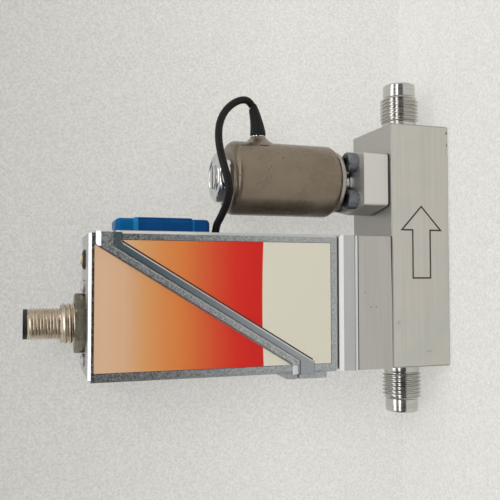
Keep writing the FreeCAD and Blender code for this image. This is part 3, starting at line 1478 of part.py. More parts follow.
def check(pieces):
    """Stops with a message if any object failed or any piece isn't a sound solid."""
    for item in doc.Objects:
        if "Invalid" in item.State or "Error" in item.State:
            raise RuntimeError("%s did not build: %s" % (item.Name, item.State))
    for piece in pieces:
        shape = piece.Shape
        if shape.isNull() or not shape.isValid() or not shape.Solids:
            raise RuntimeError("%s has no sound solid" % piece.Label)


def write(pieces):
    os.makedirs("parts", exist_ok=True)
    for piece in pieces:
        piece.Shape.exportStep("parts/%s.step" % piece.Label)


pieces = make_all()
doc.recompute()
check(pieces)
write(pieces)
print("%d pieces written" % len(pieces))
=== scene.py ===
# %% [markdown]
# A mass flow meter with its control valve, dressed over its engineering solids.
# The solids come in as the frame: every flat face, hole and hidden piece is already in place.
# The script gives each of them a finish, and makes anew the round and threaded pieces whose
# look depends on smooth curves. Lengths are in metres, the gas runs along +X and the label
# faces -Y.

# %% Load the frame
import json
import math

import bmesh
import bpy
from mathutils import Matrix, Vector


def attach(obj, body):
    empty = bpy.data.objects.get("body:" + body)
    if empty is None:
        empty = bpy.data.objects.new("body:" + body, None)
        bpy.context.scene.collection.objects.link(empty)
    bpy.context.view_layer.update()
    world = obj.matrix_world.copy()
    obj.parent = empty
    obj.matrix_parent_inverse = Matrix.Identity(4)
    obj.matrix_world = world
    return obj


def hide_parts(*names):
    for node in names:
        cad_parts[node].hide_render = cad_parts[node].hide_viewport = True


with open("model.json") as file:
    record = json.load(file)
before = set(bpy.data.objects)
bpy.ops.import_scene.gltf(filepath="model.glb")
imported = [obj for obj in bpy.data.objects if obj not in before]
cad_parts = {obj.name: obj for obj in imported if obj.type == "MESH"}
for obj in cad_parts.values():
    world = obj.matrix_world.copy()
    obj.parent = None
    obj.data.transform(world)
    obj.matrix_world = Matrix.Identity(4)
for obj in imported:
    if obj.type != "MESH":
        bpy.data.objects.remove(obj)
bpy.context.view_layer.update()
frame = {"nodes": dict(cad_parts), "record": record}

nodes = frame["nodes"]
MM = 0.001

# %% [markdown]
# Every finish is a small net of shader nodes. These helpers make a node, give its inputs their
# values and join it to others, so that a finish reads like the sum it is.

# %% Shader helpers


def new_material(name):
    """A material with its node tree, and its Principled shader."""
    material = bpy.data.materials.new(name)
    material.use_nodes = True
    tree = material.node_tree
    return material, tree, tree.nodes["Principled BSDF"]


def join(tree, source, target):
    """Feeds an input with another node's output, a number, a vector or a colour."""
    if isinstance(source, bpy.types.NodeSocket):
        tree.links.new(source, target)
    elif target.type == "RGBA":
        target.default_value = (*source, 1)
    else:
        target.default_value = source


def add_node(tree, kind, inputs=None, **settings):
    """Adds a node; its inputs are given by name or by number."""
    node = tree.nodes.new("ShaderNode" + kind)
    for name, value in settings.items():
        setattr(node, name, value)
    for name, value in (inputs or {}).items():
        join(tree, value, node.inputs[name])
    return node


def math_node(tree, operation, *values):
    node = add_node(tree, "Math", operation=operation)
    for socket, value in zip(node.inputs, values):
        join(tree, value, socket)
    return node.outputs["Value"]


def named_math(operation):
    return lambda tree, *values: math_node(tree, operation, *values)


plus, minus = named_math("ADD"), named_math("SUBTRACT")
times, divided = named_math("MULTIPLY"), named_math("DIVIDE")
larger, smaller = named_math("MAXIMUM"), named_math("MINIMUM")
is_above, is_below = named_math("GREATER_THAN"), named_math("LESS_THAN")


def inside(tree, value, low, high):
    """One where low < value < high."""
    return times(tree, is_above(tree, value, low), is_below(tree, value, high))


def ramp_node(tree, value, low, high, to_low=0.0, to_high=1.0, shape="SMOOTHSTEP"):
    """Maps a value's stretch from low to high onto another stretch."""
    return add_node(tree, "MapRange", {
        "Value": value, "From Min": low, "From Max": high, "To Min": to_low, "To Max": to_high},
        interpolation_type=shape).outputs["Result"]


def mix_color(tree, factor, first, second):
    return add_node(tree, "Mix", {0: factor, 6: first, 7: second}, data_type="RGBA").outputs[2]


def scaled(tree, vector, factor):
    return add_node(tree, "VectorMath", {0: vector, "Scale": factor},
                    operation="SCALE").outputs["Vector"]


def noise(tree, place, scale, detail, roughness=0.5):
    return add_node(tree, "TexNoise", {"Vector": place, "Scale": scale, "Detail": detail,
                                       "Roughness": roughness}).outputs["Fac"]


def color_bands(tree, value, stops):
    """A colour ramp through stops, each a share from 0 to 1 and a colour."""
    node = add_node(tree, "ValToRGB", {"Fac": value})
    elements = node.color_ramp.elements
    while len(elements) < len(stops):
        elements.new(0.5)
    for element, (share, color) in zip(elements, stops):
        element.position = share
        element.color = (*color, 1)
    return node.outputs["Color"]


def split(tree, vector):
    """The three numbers of a place or a direction."""
    axes = add_node(tree, "SeparateXYZ", {"Vector": vector}).outputs
    return axes["X"], axes["Y"], axes["Z"]


def axes_of(tree, output="Object"):
    """The place of a point, whole and as three numbers."""
    place = add_node(tree, "TexCoord").outputs[output]
    return place, *split(tree, place)


def set_plain(shader, metallic=0.0, roughness=0.5, **others):
    shader.inputs["Metallic"].default_value = metallic
    shader.inputs["Roughness"].default_value = roughness
    for name, value in others.items():
        shader.inputs[name.replace("_", " ")].default_value = value


print("shader helpers are ready")

# %% [markdown]
# The meter lies on its back on pale paper in the photograph, and the picture is taken from
# above with the outlet towards its top. Here the meter stands, so the paper becomes a wall
# close behind it. The wall is seen from the front only: from behind it lets the view through.
# A second sheet is the floor that it stands on.

# %% Paper for the wall and the floor


def make_paper(name, see_through_behind):
    """Paper that keeps its own light tone in view, and still takes the meter's shadow."""
    material, tree, shader = new_material(name)
    set_plain(shader, roughness=0.9, Specular_IOR_Level=0.1)
    place, _, _, z = axes_of(tree)
    # Painted shade: the paper is painted darker towards the top, across the heights of the fade.
    tone = mix_color(tree, ramp_node(tree, z, *PAPER_SHADE_FADE, shape="LINEAR"), PAPER_LIT_LOW, PAPER_SHADED_HIGH)
    fibres = noise(tree, place, FIBRES_PER_METRE, 3)
    speckled = scaled(tree, tone, ramp_node(tree, fibres, 0.25, 0.75, 0.86, 1.14, "LINEAR"))
    join(tree, speckled, shader.inputs["Base Color"])
    own_light = add_node(tree, "Emission", {"Color": speckled})
    rays = add_node(tree, "LightPath").outputs
    mirrored = larger(tree, rays["Is Glossy Ray"], rays["Is Transmission Ray"])
    seen = larger(tree, rays["Is Camera Ray"], mirrored)
    surface = add_node(tree, "MixShader", {
        0: times(tree, seen, OWN_LIGHT_SHARE), 1: shader.outputs["BSDF"],
        2: own_light.outputs["Emission"]}).outputs["Shader"]
    if see_through_behind:
        surface = add_node(tree, "MixShader", {
            0: add_node(tree, "NewGeometry").outputs["Backfacing"], 1: surface,
            2: add_node(tree, "BsdfTransparent").outputs["BSDF"]}).outputs["Shader"]
    join(tree, surface, tree.nodes["Material Output"].inputs["Surface"])
    return material


WALL_Y = 19.0 * MM
# Paper colour low down and high up; the darker one high up is painted shade.
PAPER_LIT_LOW = (0.76, 0.75, 0.715)
PAPER_SHADED_HIGH = (0.575, 0.57, 0.545)
PAPER_SHADE_FADE = (0.05, 0.16)
FIBRES_PER_METRE = 1300
OWN_LIGHT_SHARE = 0.60


def sheet_of_paper(name, size, matrix, material):
    bm = bmesh.new()
    bmesh.ops.create_grid(bm, x_segments=1, y_segments=1, size=size)
    bm.transform(matrix)
    mesh = bpy.data.meshes.new(name)
    bm.to_mesh(mesh)
    bm.free()
    mesh.materials.append(material)
    obj = bpy.data.objects.new(name, mesh)
    bpy.context.scene.collection.objects.link(obj)


wall_turn = Matrix.Translation((0, WALL_Y, 0)) @ Matrix.Rotation(math.radians(90), 4, "X")
sheet_of_paper("paper_wall", 2.0, wall_turn, make_paper("wall paper", True))
sheet_of_paper("paper_floor", 2.0, Matrix.Translation((0, 0, -0.0003)),
               make_paper("floor paper", False))
print("wall at", WALL_Y / MM, "mm, floor just under the base")

# %% [markdown]
# Bare metal shows what stands round it, so the room has a little shape: it is drawn in bands
# along X. Straight in front it is dim, as a ceiling is, and two bright rows of lights run on
# it above the middle. Curved steel mirrors them as clear stripes, while paint and print only
# feel their sum, which is about one, so that a colour renders about as it is written. The
# side of the room towards the inlet is darker.

# %% World
ROOM_LEVEL = 1.14
BRIGHTEST = 3.0
SIDE_WALLS = (0.22, 0.22, 0.225)
CEILING_BANDS = [
    (-180, 0.75), (-34, 0.95), (-18, 0.72), (-7, 0.25), (2, 0.12), (30, 0.12), (38, 0.3),
    (41, 3.0), (49, 3.0), (53, 0.2), (69, 0.2), (75, 2.4), (95, 2.4), (102, 1.1), (180, 0.8)]


def make_room():
    room = bpy.data.worlds.new("room")
    bpy.context.scene.world = room
    room.use_nodes = True
    tree = room.node_tree
    _, x, y, z = axes_of(tree, "Generated")
    angle = math_node(tree, "ARCTAN2", z, times(tree, y, -1))
    bands = color_bands(tree, ramp_node(tree, angle, -math.pi, math.pi, shape="LINEAR"), [
        ((degrees + 180) / 360, (level / BRIGHTEST,) * 3) for degrees, level in CEILING_BANDS])
    to_side = ramp_node(tree, math_node(tree, "ABSOLUTE", x), 0.45, 0.9)
    level = mix_color(tree, to_side, bands, SIDE_WALLS)
    dim_side = ramp_node(tree, x, -0.75, -0.20, 0.12, 1.0)
    background = tree.nodes["Background"].inputs
    join(tree, scaled(tree, level, dim_side), background["Color"])
    join(tree, BRIGHTEST * ROOM_LEVEL, background["Strength"])


make_room()
print("room with", len(CEILING_BANDS), "bands")

# %% [markdown]
# One broad lamp stands for the window of the room, towards the outlet and the top. It makes
# the soft shadows that fall to the right and down in the picture. Metal doesn't mirror it,
# because the rows of lights are already drawn in the room.

# %% Lamp


def add_lamp(name, place, size, watts, color=(1, 1, 1)):
    lamp = bpy.data.lights.new(name, "AREA")
    lamp.shape = "RECTANGLE"
    lamp.size, lamp.size_y = size
    lamp.energy = watts
    lamp.color = color
    obj = bpy.data.objects.new(name, lamp)
    obj.location = place
    aim = Vector((0, 0, 0.07)) - Vector(place)
    obj.rotation_euler = aim.to_track_quat("-Z", "Y").to_euler()
    bpy.context.scene.collection.objects.link(obj)
    return obj


window = add_lamp("window", (0.30, -0.75, 0.55), (0.5, 0.4), 3.0, (1.0, 0.985, 0.96))
window.visible_glossy = False
print("lamp:", window.name)

# %% [markdown]
# The camera is where the photographer's was: 21 cm in front of the label and near the upper
# end of the housing, turned so that the outlet is at the picture's top. It looks 18 degrees
# down towards the base, which is why the base's top face shows.

# %% Camera
FOCAL_PIXELS, PICTURE_PIXELS = 661.4, 500
EYE = Vector((-10.99, -222.86, 144.72)) * MM
TILT, SWING, ROLL = math.radians(18.06), math.radians(2.216), math.radians(0.062)
level = Vector((0, math.cos(TILT), -math.sin(TILT)))
along = Vector((1, 0, 0))
look = level * math.cos(SWING) + along * math.sin(SWING)
up = along * math.cos(SWING) - level * math.sin(SWING)
right = look.cross(up)
up, right = (up * math.cos(ROLL) + right * math.sin(ROLL),
             right * math.cos(ROLL) - up * math.sin(ROLL))
camera_data = bpy.data.cameras.new("camera")
camera_data.sensor_width = 36.0
camera_data.lens = FOCAL_PIXELS / PICTURE_PIXELS * camera_data.sensor_width
camera_data.clip_start = 0.01
camera = bpy.data.objects.new("camera", camera_data)
turn = Matrix((right, up, -look)).transposed().to_4x4()
camera.matrix_world = Matrix.Translation(EYE) @ turn
bpy.context.scene.collection.objects.link(camera)
bpy.context.scene.camera = camera
bpy.context.scene.view_settings.view_transform = "Standard"
print("lens", round(camera_data.lens, 1), "mm")

# %% [markdown]
# Bare metal is never one even grey. Three small effects are used by several finishes, so each
# is a node group that is built once: streaks from a grinding belt, a cast skin, and a mask
# that finds faces which point along no axis, such as bevelled edges.

# %% Effect: streaks


def new_group(name, inputs, outputs):
    """A node group, with what comes into it and what goes out of it."""
    group = bpy.data.node_groups.new(name, "ShaderNodeTree")
    for socket_name, kind, value in inputs:
        socket = group.interface.new_socket(socket_name, in_out="INPUT", socket_type=kind)
        if value is not None:
            socket.default_value = value
    for socket_name in outputs:
        group.interface.new_socket(socket_name, in_out="OUTPUT", socket_type="NodeSocketFloat")
    start = group.nodes.new("NodeGroupInput")
    end = group.nodes.new("NodeGroupOutput")
    return group, start.outputs, end.inputs


def make_streaks():
    group, start, end = new_group("streaks", [
        ("Vector", "NodeSocketVector", None), ("Stretch", "NodeSocketVector", (40, 2600, 2600))],
        ["Fine", "Broad"])
    stretched = add_node(group, "VectorMath", {0: start["Vector"], 1: start["Stretch"]},
                         operation="MULTIPLY").outputs["Vector"]
    join(group, noise(group, stretched, 1.0, 3), end["Fine"])
    join(group, noise(group, stretched, 0.12, 2), end["Broad"])
    return group


streaks = make_streaks()
print("built", streaks.name)

# %% Effect: cast skin


def make_cast_skin():
    group, start, end = new_group("cast skin", [
        ("Vector", "NodeSocketVector", None), ("Scale", "NodeSocketFloat", 900.0)],
        ["Height", "Blotches"])
    join(group, noise(group, start["Vector"], start["Scale"], 4, 0.65), end["Height"])
    join(group, noise(group, start["Vector"], 130, 3), end["Blotches"])
    return group


cast_skin = make_cast_skin()
print("built", cast_skin.name)

# %% Effect: bevelled faces
ALONG_AN_AXIS = 0.985


def normal_axes(tree):
    return split(tree, add_node(tree, "NewGeometry").outputs["True Normal"])


def make_bevel_mask():
    group, _, end = new_group("bevel mask", [], ["Mask"])
    x, y, z = [math_node(group, "ABSOLUTE", part) for part in normal_axes(group)]
    largest = larger(group, larger(group, x, y), z)
    join(group, is_below(group, largest, ALONG_AN_AXIS), end["Mask"])
    return group


bevel_mask = make_bevel_mask()
print("built", bevel_mask.name)


def bevels(tree):
    return add_node(tree, "Group", node_tree=bevel_mask).outputs["Mask"]


# %% [markdown]
# Finishes. Each one is named for what it is on the meter, and gets its constants straight on
# the shader, with only what varies over the surface going through nodes. The metals are
# metallic, and their roughness decides how much of the room they mirror. FINISHES holds them
# by the name of the material slot, and some nodes have a finish of their own further down.

# %% Metal finishes
METALS = {
    "fitting_steel": ("turned fitting steel", (0.63, 0.62, 0.595), (0.51, 0.50, 0.475),
                      0.15, (2600, 60, 60), 0.03, 1.0),
    "block_steel": ("milled block steel", (0.56, 0.545, 0.52), (0.51, 0.495, 0.47),
                    0.40, (30, 900, 900), 0.04),
    "screw_steel": ("screw steel", (0.235, 0.245, 0.265), (0.15, 0.16, 0.175),
                    0.27, (500, 500, 500), 0.08, 0.95),
    "polished_steel": ("polished steel", (0.72, 0.72, 0.72), (0.64, 0.64, 0.64),
                       0.14, (120, 120, 900), 0.03, 1.0),
    "plate_aluminium": ("satin aluminium", (0.66, 0.66, 0.655), (0.57, 0.57, 0.565),
                        0.34, (50, 900, 900)),
    "connector_nickel": ("nickel over brass", (0.72, 0.63, 0.51), (0.48, 0.41, 0.32),
                         0.20, (300, 300, 900), 0.05, 1.0),
    "copper_wire": ("enamelled copper", (0.55, 0.24, 0.11), (0.40, 0.15, 0.07),
                    0.35, (80, 80, 5000), 0.3),
    "pin_gold": ("gold contacts", (0.80, 0.60, 0.25), (0.70, 0.50, 0.18),
                 0.25, (100, 100, 100), 0.02, 1.0),
}


def set_bump(tree, shader, height, strength, distance):
    bump = add_node(tree, "Bump", {"Strength": strength, "Distance": distance, "Height": height})
    join(tree, bump.outputs["Normal"], shader.inputs["Normal"])


def streaked_metal(name, light, dark, rough, stretch, strength=0.12, metallic=0.85):
    """Ground or turned metal: streaks change its colour, its roughness and its relief."""
    material, tree, shader = new_material(name)
    set_plain(shader, metallic=metallic, roughness=rough)
    place = add_node(tree, "TexCoord").outputs["Object"]
    lines = add_node(tree, "Group", {"Vector": place, "Stretch": stretch},
                     node_tree=streaks).outputs
    shade = mix_color(tree, ramp_node(tree, lines["Fine"], 0.3, 0.7), dark, light)
    cloud = ramp_node(tree, lines["Broad"], 0.35, 0.65, 0.0, 0.45)
    join(tree, mix_color(tree, cloud, shade, light), shader.inputs["Base Color"])
    join(tree, ramp_node(tree, lines["Fine"], 0.25, 0.75, rough - 0.06, rough + 0.08),
         shader.inputs["Roughness"])
    set_bump(tree, shader, lines["Fine"], strength, 0.00004)
    return material, tree, shader


FINISHES = {slot: streaked_metal(*row)[0] for slot, row in METALS.items()}
FINISHES["steel"] = FINISHES["block_steel"]
DULL_RING, _, _ = streaked_metal("dull ring steel", (0.46, 0.435, 0.395), (0.36, 0.335, 0.30),
                                 0.36, (200, 200, 900), 0.05, 0.9)
NUT_NICKEL, _, _ = streaked_metal("worn nickel", (0.29, 0.262, 0.205), (0.20, 0.18, 0.14),
                                  0.30, (300, 300, 900), 0.06, 1.0)
print("metals:", ", ".join(FINISHES))

# %% [markdown]
# The base is ground lengthwise, so its streaks run along X. Its flow arrow is engraved by the
# solid, and the groove is filled with dark paint: every point of the front that lies deeper
# than the face and inside the arrow's field gets that paint. Two knocks near the outlet and
# two faint rubs near the inlet are marks of their own, each a place, a radius and a stretch.
# As painted shade, the top face is painted darker and the bevelled edges dark.

# %% Base steel with its arrow and marks
BASE_FRONT = -15.0 * MM
BASE_TOP_FACE = 0.02366
ARROW_X, ARROW_Z = (-0.0126, 0.0148), (0.0026, 0.0208)
KNOCKS = [((41.4, -15.0, 0.5), 0.7, (1, 1, 0.8)), ((36.9, -15.0, 0.3), 0.7, (0.8, 1, 1))]
RUBS = [((-27.8, -15.0, 21.3), 1.1, (1.2, 1, 1)), ((-38.2, -15.0, 9.0), 1.4, (2.5, 1, 0.8))]


def spot(tree, place, centre, radius, stretch=(1, 1, 1)):
    """A soft round mark around a point of the object, in millimetres."""
    offset = add_node(tree, "VectorMath", {0: place, 1: [value * MM for value in centre]},
                      operation="SUBTRACT").outputs["Vector"]
    shaped = add_node(tree, "VectorMath", {0: offset, 1: stretch}, operation="MULTIPLY")
    length = add_node(tree, "VectorMath", {0: shaped.outputs["Vector"]}, operation="LENGTH")
    return ramp_node(tree, length.outputs["Value"], radius * MM * 0.55, radius * MM, 1.0, 0.0)


def spots(tree, place, rows):
    """All the marks of a list in one mask."""
    marks = [spot(tree, place, *row) for row in rows]
    total = marks[0]
    for mark in marks[1:]:
        total = larger(tree, total, mark)
    return total


def paint_over(tree, shader, mask, color):
    """Lays a colour over the finish wherever the mask is one."""
    before = shader.inputs["Base Color"].links[0].from_socket
    join(tree, mix_color(tree, mask, before, color), shader.inputs["Base Color"])


def dull_where(tree, shader, mask, metallic):
    """Takes the metal away wherever the mask is one."""
    join(tree, minus(tree, metallic, times(tree, mask, metallic)), shader.inputs["Metallic"])


def make_base_steel():
    material, tree, shader = streaked_metal("ground base steel", (0.66, 0.645, 0.605),
                                            (0.57, 0.555, 0.515), 0.42, (20, 20, 1300), 0.05)
    place, x, y, z = axes_of(tree)
    clouds = noise(tree, place, 90, 4)
    deep = inside(tree, y, BASE_FRONT + 0.00003, BASE_FRONT + 0.0004)
    arrow = times(tree, deep, times(tree, inside(tree, x, *ARROW_X), inside(tree, z, *ARROW_Z)))
    for mask, color in (
            (ramp_node(tree, clouds, 0.45, 0.7, 0.0, 0.6), (0.66, 0.61, 0.565)),
            (ramp_node(tree, clouds, 0.3, 0.55, 0.6, 0.0), (0.58, 0.59, 0.545)),
            # Painted shade: the top face is painted darker than the front.
            (times(tree, is_above(tree, z, BASE_TOP_FACE), 0.8), (0.46, 0.455, 0.43)),
            # Painted shade: the bevelled edges are painted dark.
            (times(tree, bevels(tree), 0.7), (0.30, 0.29, 0.27)),
            (times(tree, spots(tree, place, KNOCKS), 0.75), (0.10, 0.085, 0.075)),
            (times(tree, spots(tree, place, RUBS), 0.35), (0.33, 0.32, 0.28)),
            (arrow, (0.055, 0.035, 0.032))):
        paint_over(tree, shader, mask, color)
    dull_where(tree, shader, arrow, 0.85)
    return material


BASE_STEEL = make_base_steel()
print("base finish:", BASE_STEEL.name)

# %% [markdown]
# The blocks on the base and the foot plate have milled faces in steps. Where one lies on
# another, a near-black line is painted as the shadow in the seam; where the plate is
# chamfered, bright strips are painted as highlights, with thin painted shadow lines beside
# them. Their height tells them apart. The painted shadow under the sensor block closes
# towards the inlet.

# %% Blocks and foot plate
BLOCK_FLOOR = 0.0237
SENSOR_PITS = [((-22.0, -15.0, 30.2), 0.35), ((-22.1, -15.0, 32.3), 0.35),
               ((-17.0, -15.0, 34.6), 0.3)]
# Painted highlights on the foot plate's chamfers and painted shadow lines beside them, each a
# stretch of height and a colour.
PLATE_HIGHLIGHTS_AND_SHADOWS = [(0.0428, 0.0446, (0.97, 0.97, 0.98)), (0.0376, 0.0384, (0.90, 0.90, 0.90)),
                (0.0446, 0.04485, (0.14, 0.14, 0.15)), (0.0371, 0.0374, (0.06, 0.06, 0.06)),
                (0.0384, 0.0386, (0.12, 0.12, 0.13))]


def make_block(name, light, dark, rough, seam_rise, pits=()):
    """Milled block; seam_rise gives two places along X and the height at each of the
    near-black line that is painted as the shadow in the seam.
    """
    material, tree, shader = streaked_metal(name, light, dark, rough, (30, 900, 900), 0.04)
    place, x, _, z = axes_of(tree)
    if pits:
        paint_over(tree, shader, times(tree, spots(tree, place, pits), 0.7), (0.12, 0.11, 0.10))
    # Painted shadow: a near-black line at the block's foot, where it lies on the base.
    rise = ramp_node(tree, x, *seam_rise, shape="LINEAR")
    seam_shadow = is_below(tree, minus(tree, z, BLOCK_FLOOR), rise)
    paint_over(tree, shader, seam_shadow, (0.012, 0.012, 0.012))
    dull_where(tree, shader, seam_shadow, 0.85)
    return material


def make_foot_plate():
    material, tree, shader = streaked_metal(
        "milled foot plate", (0.56, 0.57, 0.59), (0.48, 0.495, 0.52), 0.34, (40, 700, 700), 0.04)
    z = axes_of(tree)[-1]
    # Painted highlights and painted shadow lines, stretch by stretch.
    for low, high, color in PLATE_HIGHLIGHTS_AND_SHADOWS:
        paint_over(tree, shader, inside(tree, z, low, high), color)
    return material


VALVE_STEEL = make_block("milled valve block", (0.76, 0.74, 0.71), (0.72, 0.70, 0.67), 0.44,
                         (-1.0, 1.0, 0.0007, 0.0007))
SENSOR_STEEL = make_block("milled sensor block", (0.56, 0.545, 0.52), (0.50, 0.485, 0.46), 0.40,
                          (-0.043, 0.003, -0.0001, 0.00065), SENSOR_PITS)
FOOT_PLATE = make_foot_plate()
print("block finishes:", VALVE_STEEL.name, SENSOR_STEEL.name, FOOT_PLATE.name)

# %% [markdown]
# The housing is bare die-cast zinc, blue-grey and grainy. Painted shade makes it darker
# towards its upper end, and its top face is painted lighter. Bevels that face the top or the
# outlet, and the low bevels at its foot, are painted light as highlights. The slanting joint
# divides the raised strap: its upper half is rough and lighter, its lower half smooth and
# darker, and the painted shade darkens both towards the top, the smooth half most. The narrow
# gap round the labels and a strip under the top bevel are painted nearly black as shadow.

# %% Housing zinc
# Heights between which the painted shade on the housing deepens.
LOW_END, HIGH_END = 0.050, 0.122
JOINT_LOW, JOINT_HIGH = (-0.0396, 0.05955), (-0.0019, 0.1212)
STRAP_SLOPE = (JOINT_HIGH[1] - JOINT_LOW[1]) / (JOINT_HIGH[0] - JOINT_LOW[0])
RAISED_FRONT = -0.01506
LABEL_FLOOR = (-0.01498, -0.0146)
LID_FACE = 0.12885
LOW_BEVEL_TOP = 0.0460
STRAP_WIDTH = 0.0058


def make_zinc():
    material, tree, shader = new_material("die-cast zinc")
    set_plain(shader, metallic=0.8, roughness=0.40)
    place, x, y, z = axes_of(tree)
    skin = add_node(tree, "Group", {"Vector": place, "Scale": 2300.0}, node_tree=cast_skin).outputs
    grain = ramp_node(tree, skin["Height"], 0.36, 0.64)
    # Painted shade: the zinc is painted darker towards its upper end.
    shade_upwards = ramp_node(tree, z, LOW_END, HIGH_END)

    def grainy(dark, light):
        return mix_color(tree, grain, dark, light)

    shade = mix_color(tree, shade_upwards, grainy((0.33, 0.345, 0.36), (0.52, 0.54, 0.57)),
                      grainy((0.07, 0.078, 0.085), (0.30, 0.31, 0.315)))
    raised = is_below(tree, y, RAISED_FRONT)
    slanted = plus(tree, times(tree, minus(tree, x, JOINT_HIGH[0]), STRAP_SLOPE), JOINT_HIGH[1])
    joint_z = smaller(tree, larger(tree, slanted, JOINT_LOW[1]), JOINT_HIGH[1])
    above = is_above(tree, z, joint_z)
    upper_half = times(tree, raised, above)
    lower_half = minus(tree, raised, upper_half)
    # Both strap halves get the painted shade towards the top, the smooth half the darkest.
    rough_half_shaded = mix_color(tree, shade_upwards, grainy((0.27, 0.28, 0.29), (0.55, 0.56, 0.57)),
                           grainy((0.10, 0.11, 0.12), (0.40, 0.41, 0.42)))
    smooth_half_shaded = mix_color(tree, shade_upwards, (0.36, 0.39, 0.42), (0.085, 0.125, 0.155))
    shade = mix_color(tree, upper_half, shade, rough_half_shaded)
    shade = mix_color(tree, lower_half, shade, smooth_half_shaded)
    # Painted light: the lid's top face is painted lighter.
    shade = mix_color(tree, is_above(tree, z, LID_FACE), shade,
                      grainy((0.42, 0.42, 0.42), (0.66, 0.66, 0.65)))
    edges = bevels(tree)
    normal_x, _, normal_z = normal_axes(tree)
    # Painted highlight: bevels that face the top or the outlet are painted nearly white.
    faces_light = larger(tree, is_above(tree, normal_z, 0.4), is_above(tree, normal_x, 0.3))
    tilted = larger(tree, edges, inside(tree, normal_z, 0.4, 0.9))
    edge_highlight = times(tree, tilted, faces_light)
    shade = mix_color(tree, times(tree, edge_highlight, 0.85), shade, (0.80, 0.81, 0.82))
    # Painted light: the bevels at the housing's foot are painted light and made plain, not metal.
    low_bevel_light = times(tree, times(tree, edges, is_below(tree, normal_z, -0.4)),
                      is_below(tree, z, LOW_BEVEL_TOP))
    shade = mix_color(tree, low_bevel_light, shade, (0.78, 0.79, 0.80))
    # Painted shadow: the narrow gap round the labels is painted nearly black, apart from the
    # stretch by the strap.
    gap = times(tree, inside(tree, y, *LABEL_FLOOR), minus(tree, 1.0, edges))
    by_strap = times(tree, above, is_below(tree, minus(tree, z, joint_z), STRAP_WIDTH))
    gap = times(tree, times(tree, gap, minus(tree, 1.0, by_strap)), 0.7)
    # Painted shadow: a strip under the top bevel is painted nearly black where the grain is dark.
    rim_shadow_strip = times(tree, inside(tree, z, 0.1270, 0.12802), inside(tree, y, -0.0151, -0.0148))
    # Every painted shadow of the housing in one mask, which is also made plain, not metal.
    black = larger(tree, gap, times(tree, rim_shadow_strip, is_below(tree, grain, 0.8)))
    shade = mix_color(tree, times(tree, black, 0.95), shade, (0.006, 0.006, 0.007))
    join(tree, shade, shader.inputs["Base Color"])
    dull_where(tree, shader, larger(tree, black, low_bevel_light), 0.8)
    join(tree, plus(tree, times(tree, edge_highlight, -0.10), 0.40), shader.inputs["Roughness"])
    set_bump(tree, shader, skin["Height"], 0.25, 0.0002)
    return material


HOUSING_ZINC = make_zinc()
print("housing finish:", HOUSING_ZINC.name)

# %% [markdown]
# The front labels are plain fields of colour: peach at the top, then orange and red, and a
# cream field below a line that is bowed by less than half a millimetre. The colour follows
# the height on the object, so both labels read as one picture with the strap across it. A
# thin dark line is painted on the label beside the strap's outlet side, as the strap's shadow.

# %% Label print
CREAM_TOP = 0.0722
PRINT_FADE = [
    (0.076, (0.575, 0.012, 0.006)), (0.082, (0.60, 0.021, 0.010)), (0.088, (0.605, 0.057, 0.018)),
    (0.094, (0.61, 0.115, 0.030)), (0.100, (0.635, 0.185, 0.042)), (0.106, (0.63, 0.235, 0.068)),
    (0.112, (0.62, 0.305, 0.118)), (0.118, (0.62, 0.385, 0.240)), (0.124, (0.645, 0.415, 0.262))]
STRAP_EDGE = 0.0029
# Lowest height of the painted shadow beside the strap.
STRAP_SHADOW_FLOOR = 0.0545


def make_label():
    material, tree, shader = new_material("label print")
    set_plain(shader, roughness=0.40, Specular_IOR_Level=0.25)
    _, x, _, z = axes_of(tree)
    low, high = PRINT_FADE[0][0], PRINT_FADE[-1][0]
    fade = color_bands(tree, ramp_node(tree, z, low, high, shape="LINEAR"), [
        ((height - low) / (high - low), color) for height, color in PRINT_FADE])
    aside = divided(tree, plus(tree, x, 0.020), 0.020)
    height = plus(tree, z, times(tree, times(tree, aside, aside), 0.0004))
    cream = ramp_node(tree, height, CREAM_TOP + 0.0003, CREAM_TOP + 0.0005, 1.0, 0.0)
    colors = mix_color(tree, cream, fade, (0.66, 0.635, 0.53))
    strap_x = plus(tree, divided(tree, minus(tree, z, JOINT_HIGH[1]), STRAP_SLOPE),
                   JOINT_HIGH[0] + STRAP_EDGE)
    # Painted shadow: a thin dark line on the label beside the strap's outlet side.
    beside = inside(tree, minus(tree, x, strap_x), -0.001, 0.00062)
    strap_shadow = times(tree, beside, is_above(tree, z, STRAP_SHADOW_FLOOR))
    join(tree, mix_color(tree, strap_shadow, colors, (0.03, 0.025, 0.03)), shader.inputs["Base Color"])
    return material


LABEL_PRINT = make_label()
print("label finish:", LABEL_PRINT.name)

# %% [markdown]
# Paint, plastics and rubber. The coil's satin brown paint has small pits where it chipped, and
# the moulded pieces get a little uneven gloss, because a perfectly even one looks unreal.
# Black rubber is given a weak mirror, or the bright room would turn it grey.

# %% Paint, plastic and rubber
COIL_CHIPS = [
    ((31.3, -10.3, 65.1), 0.32), ((29.4, -11.5, 63.7), 0.42), ((22.6, -12.55, 79.6), 0.35),
    ((26.2, -12.7, 68.5), 0.3), ((25.0, -12.9, 69.4), 0.28), ((24.4, -13.0, 68.0), 0.25),
    ((22.6, -13.0, 68.6), 0.25), ((28.0, -12.2, 57.6), 0.22), ((20.4, -12.6, 62.0), 0.2)]
# Painted highlights on the blue cap: lighter bands of blue, each a stretch of height.
CAP_HIGHLIGHTS = [(0.1142, 0.1200, (0.0, 0.095, 0.27)), (0.1126, 0.1142, (0.01, 0.19, 0.42)),
             (0.0938, 0.0944, (0.0, 0.12, 0.32))]


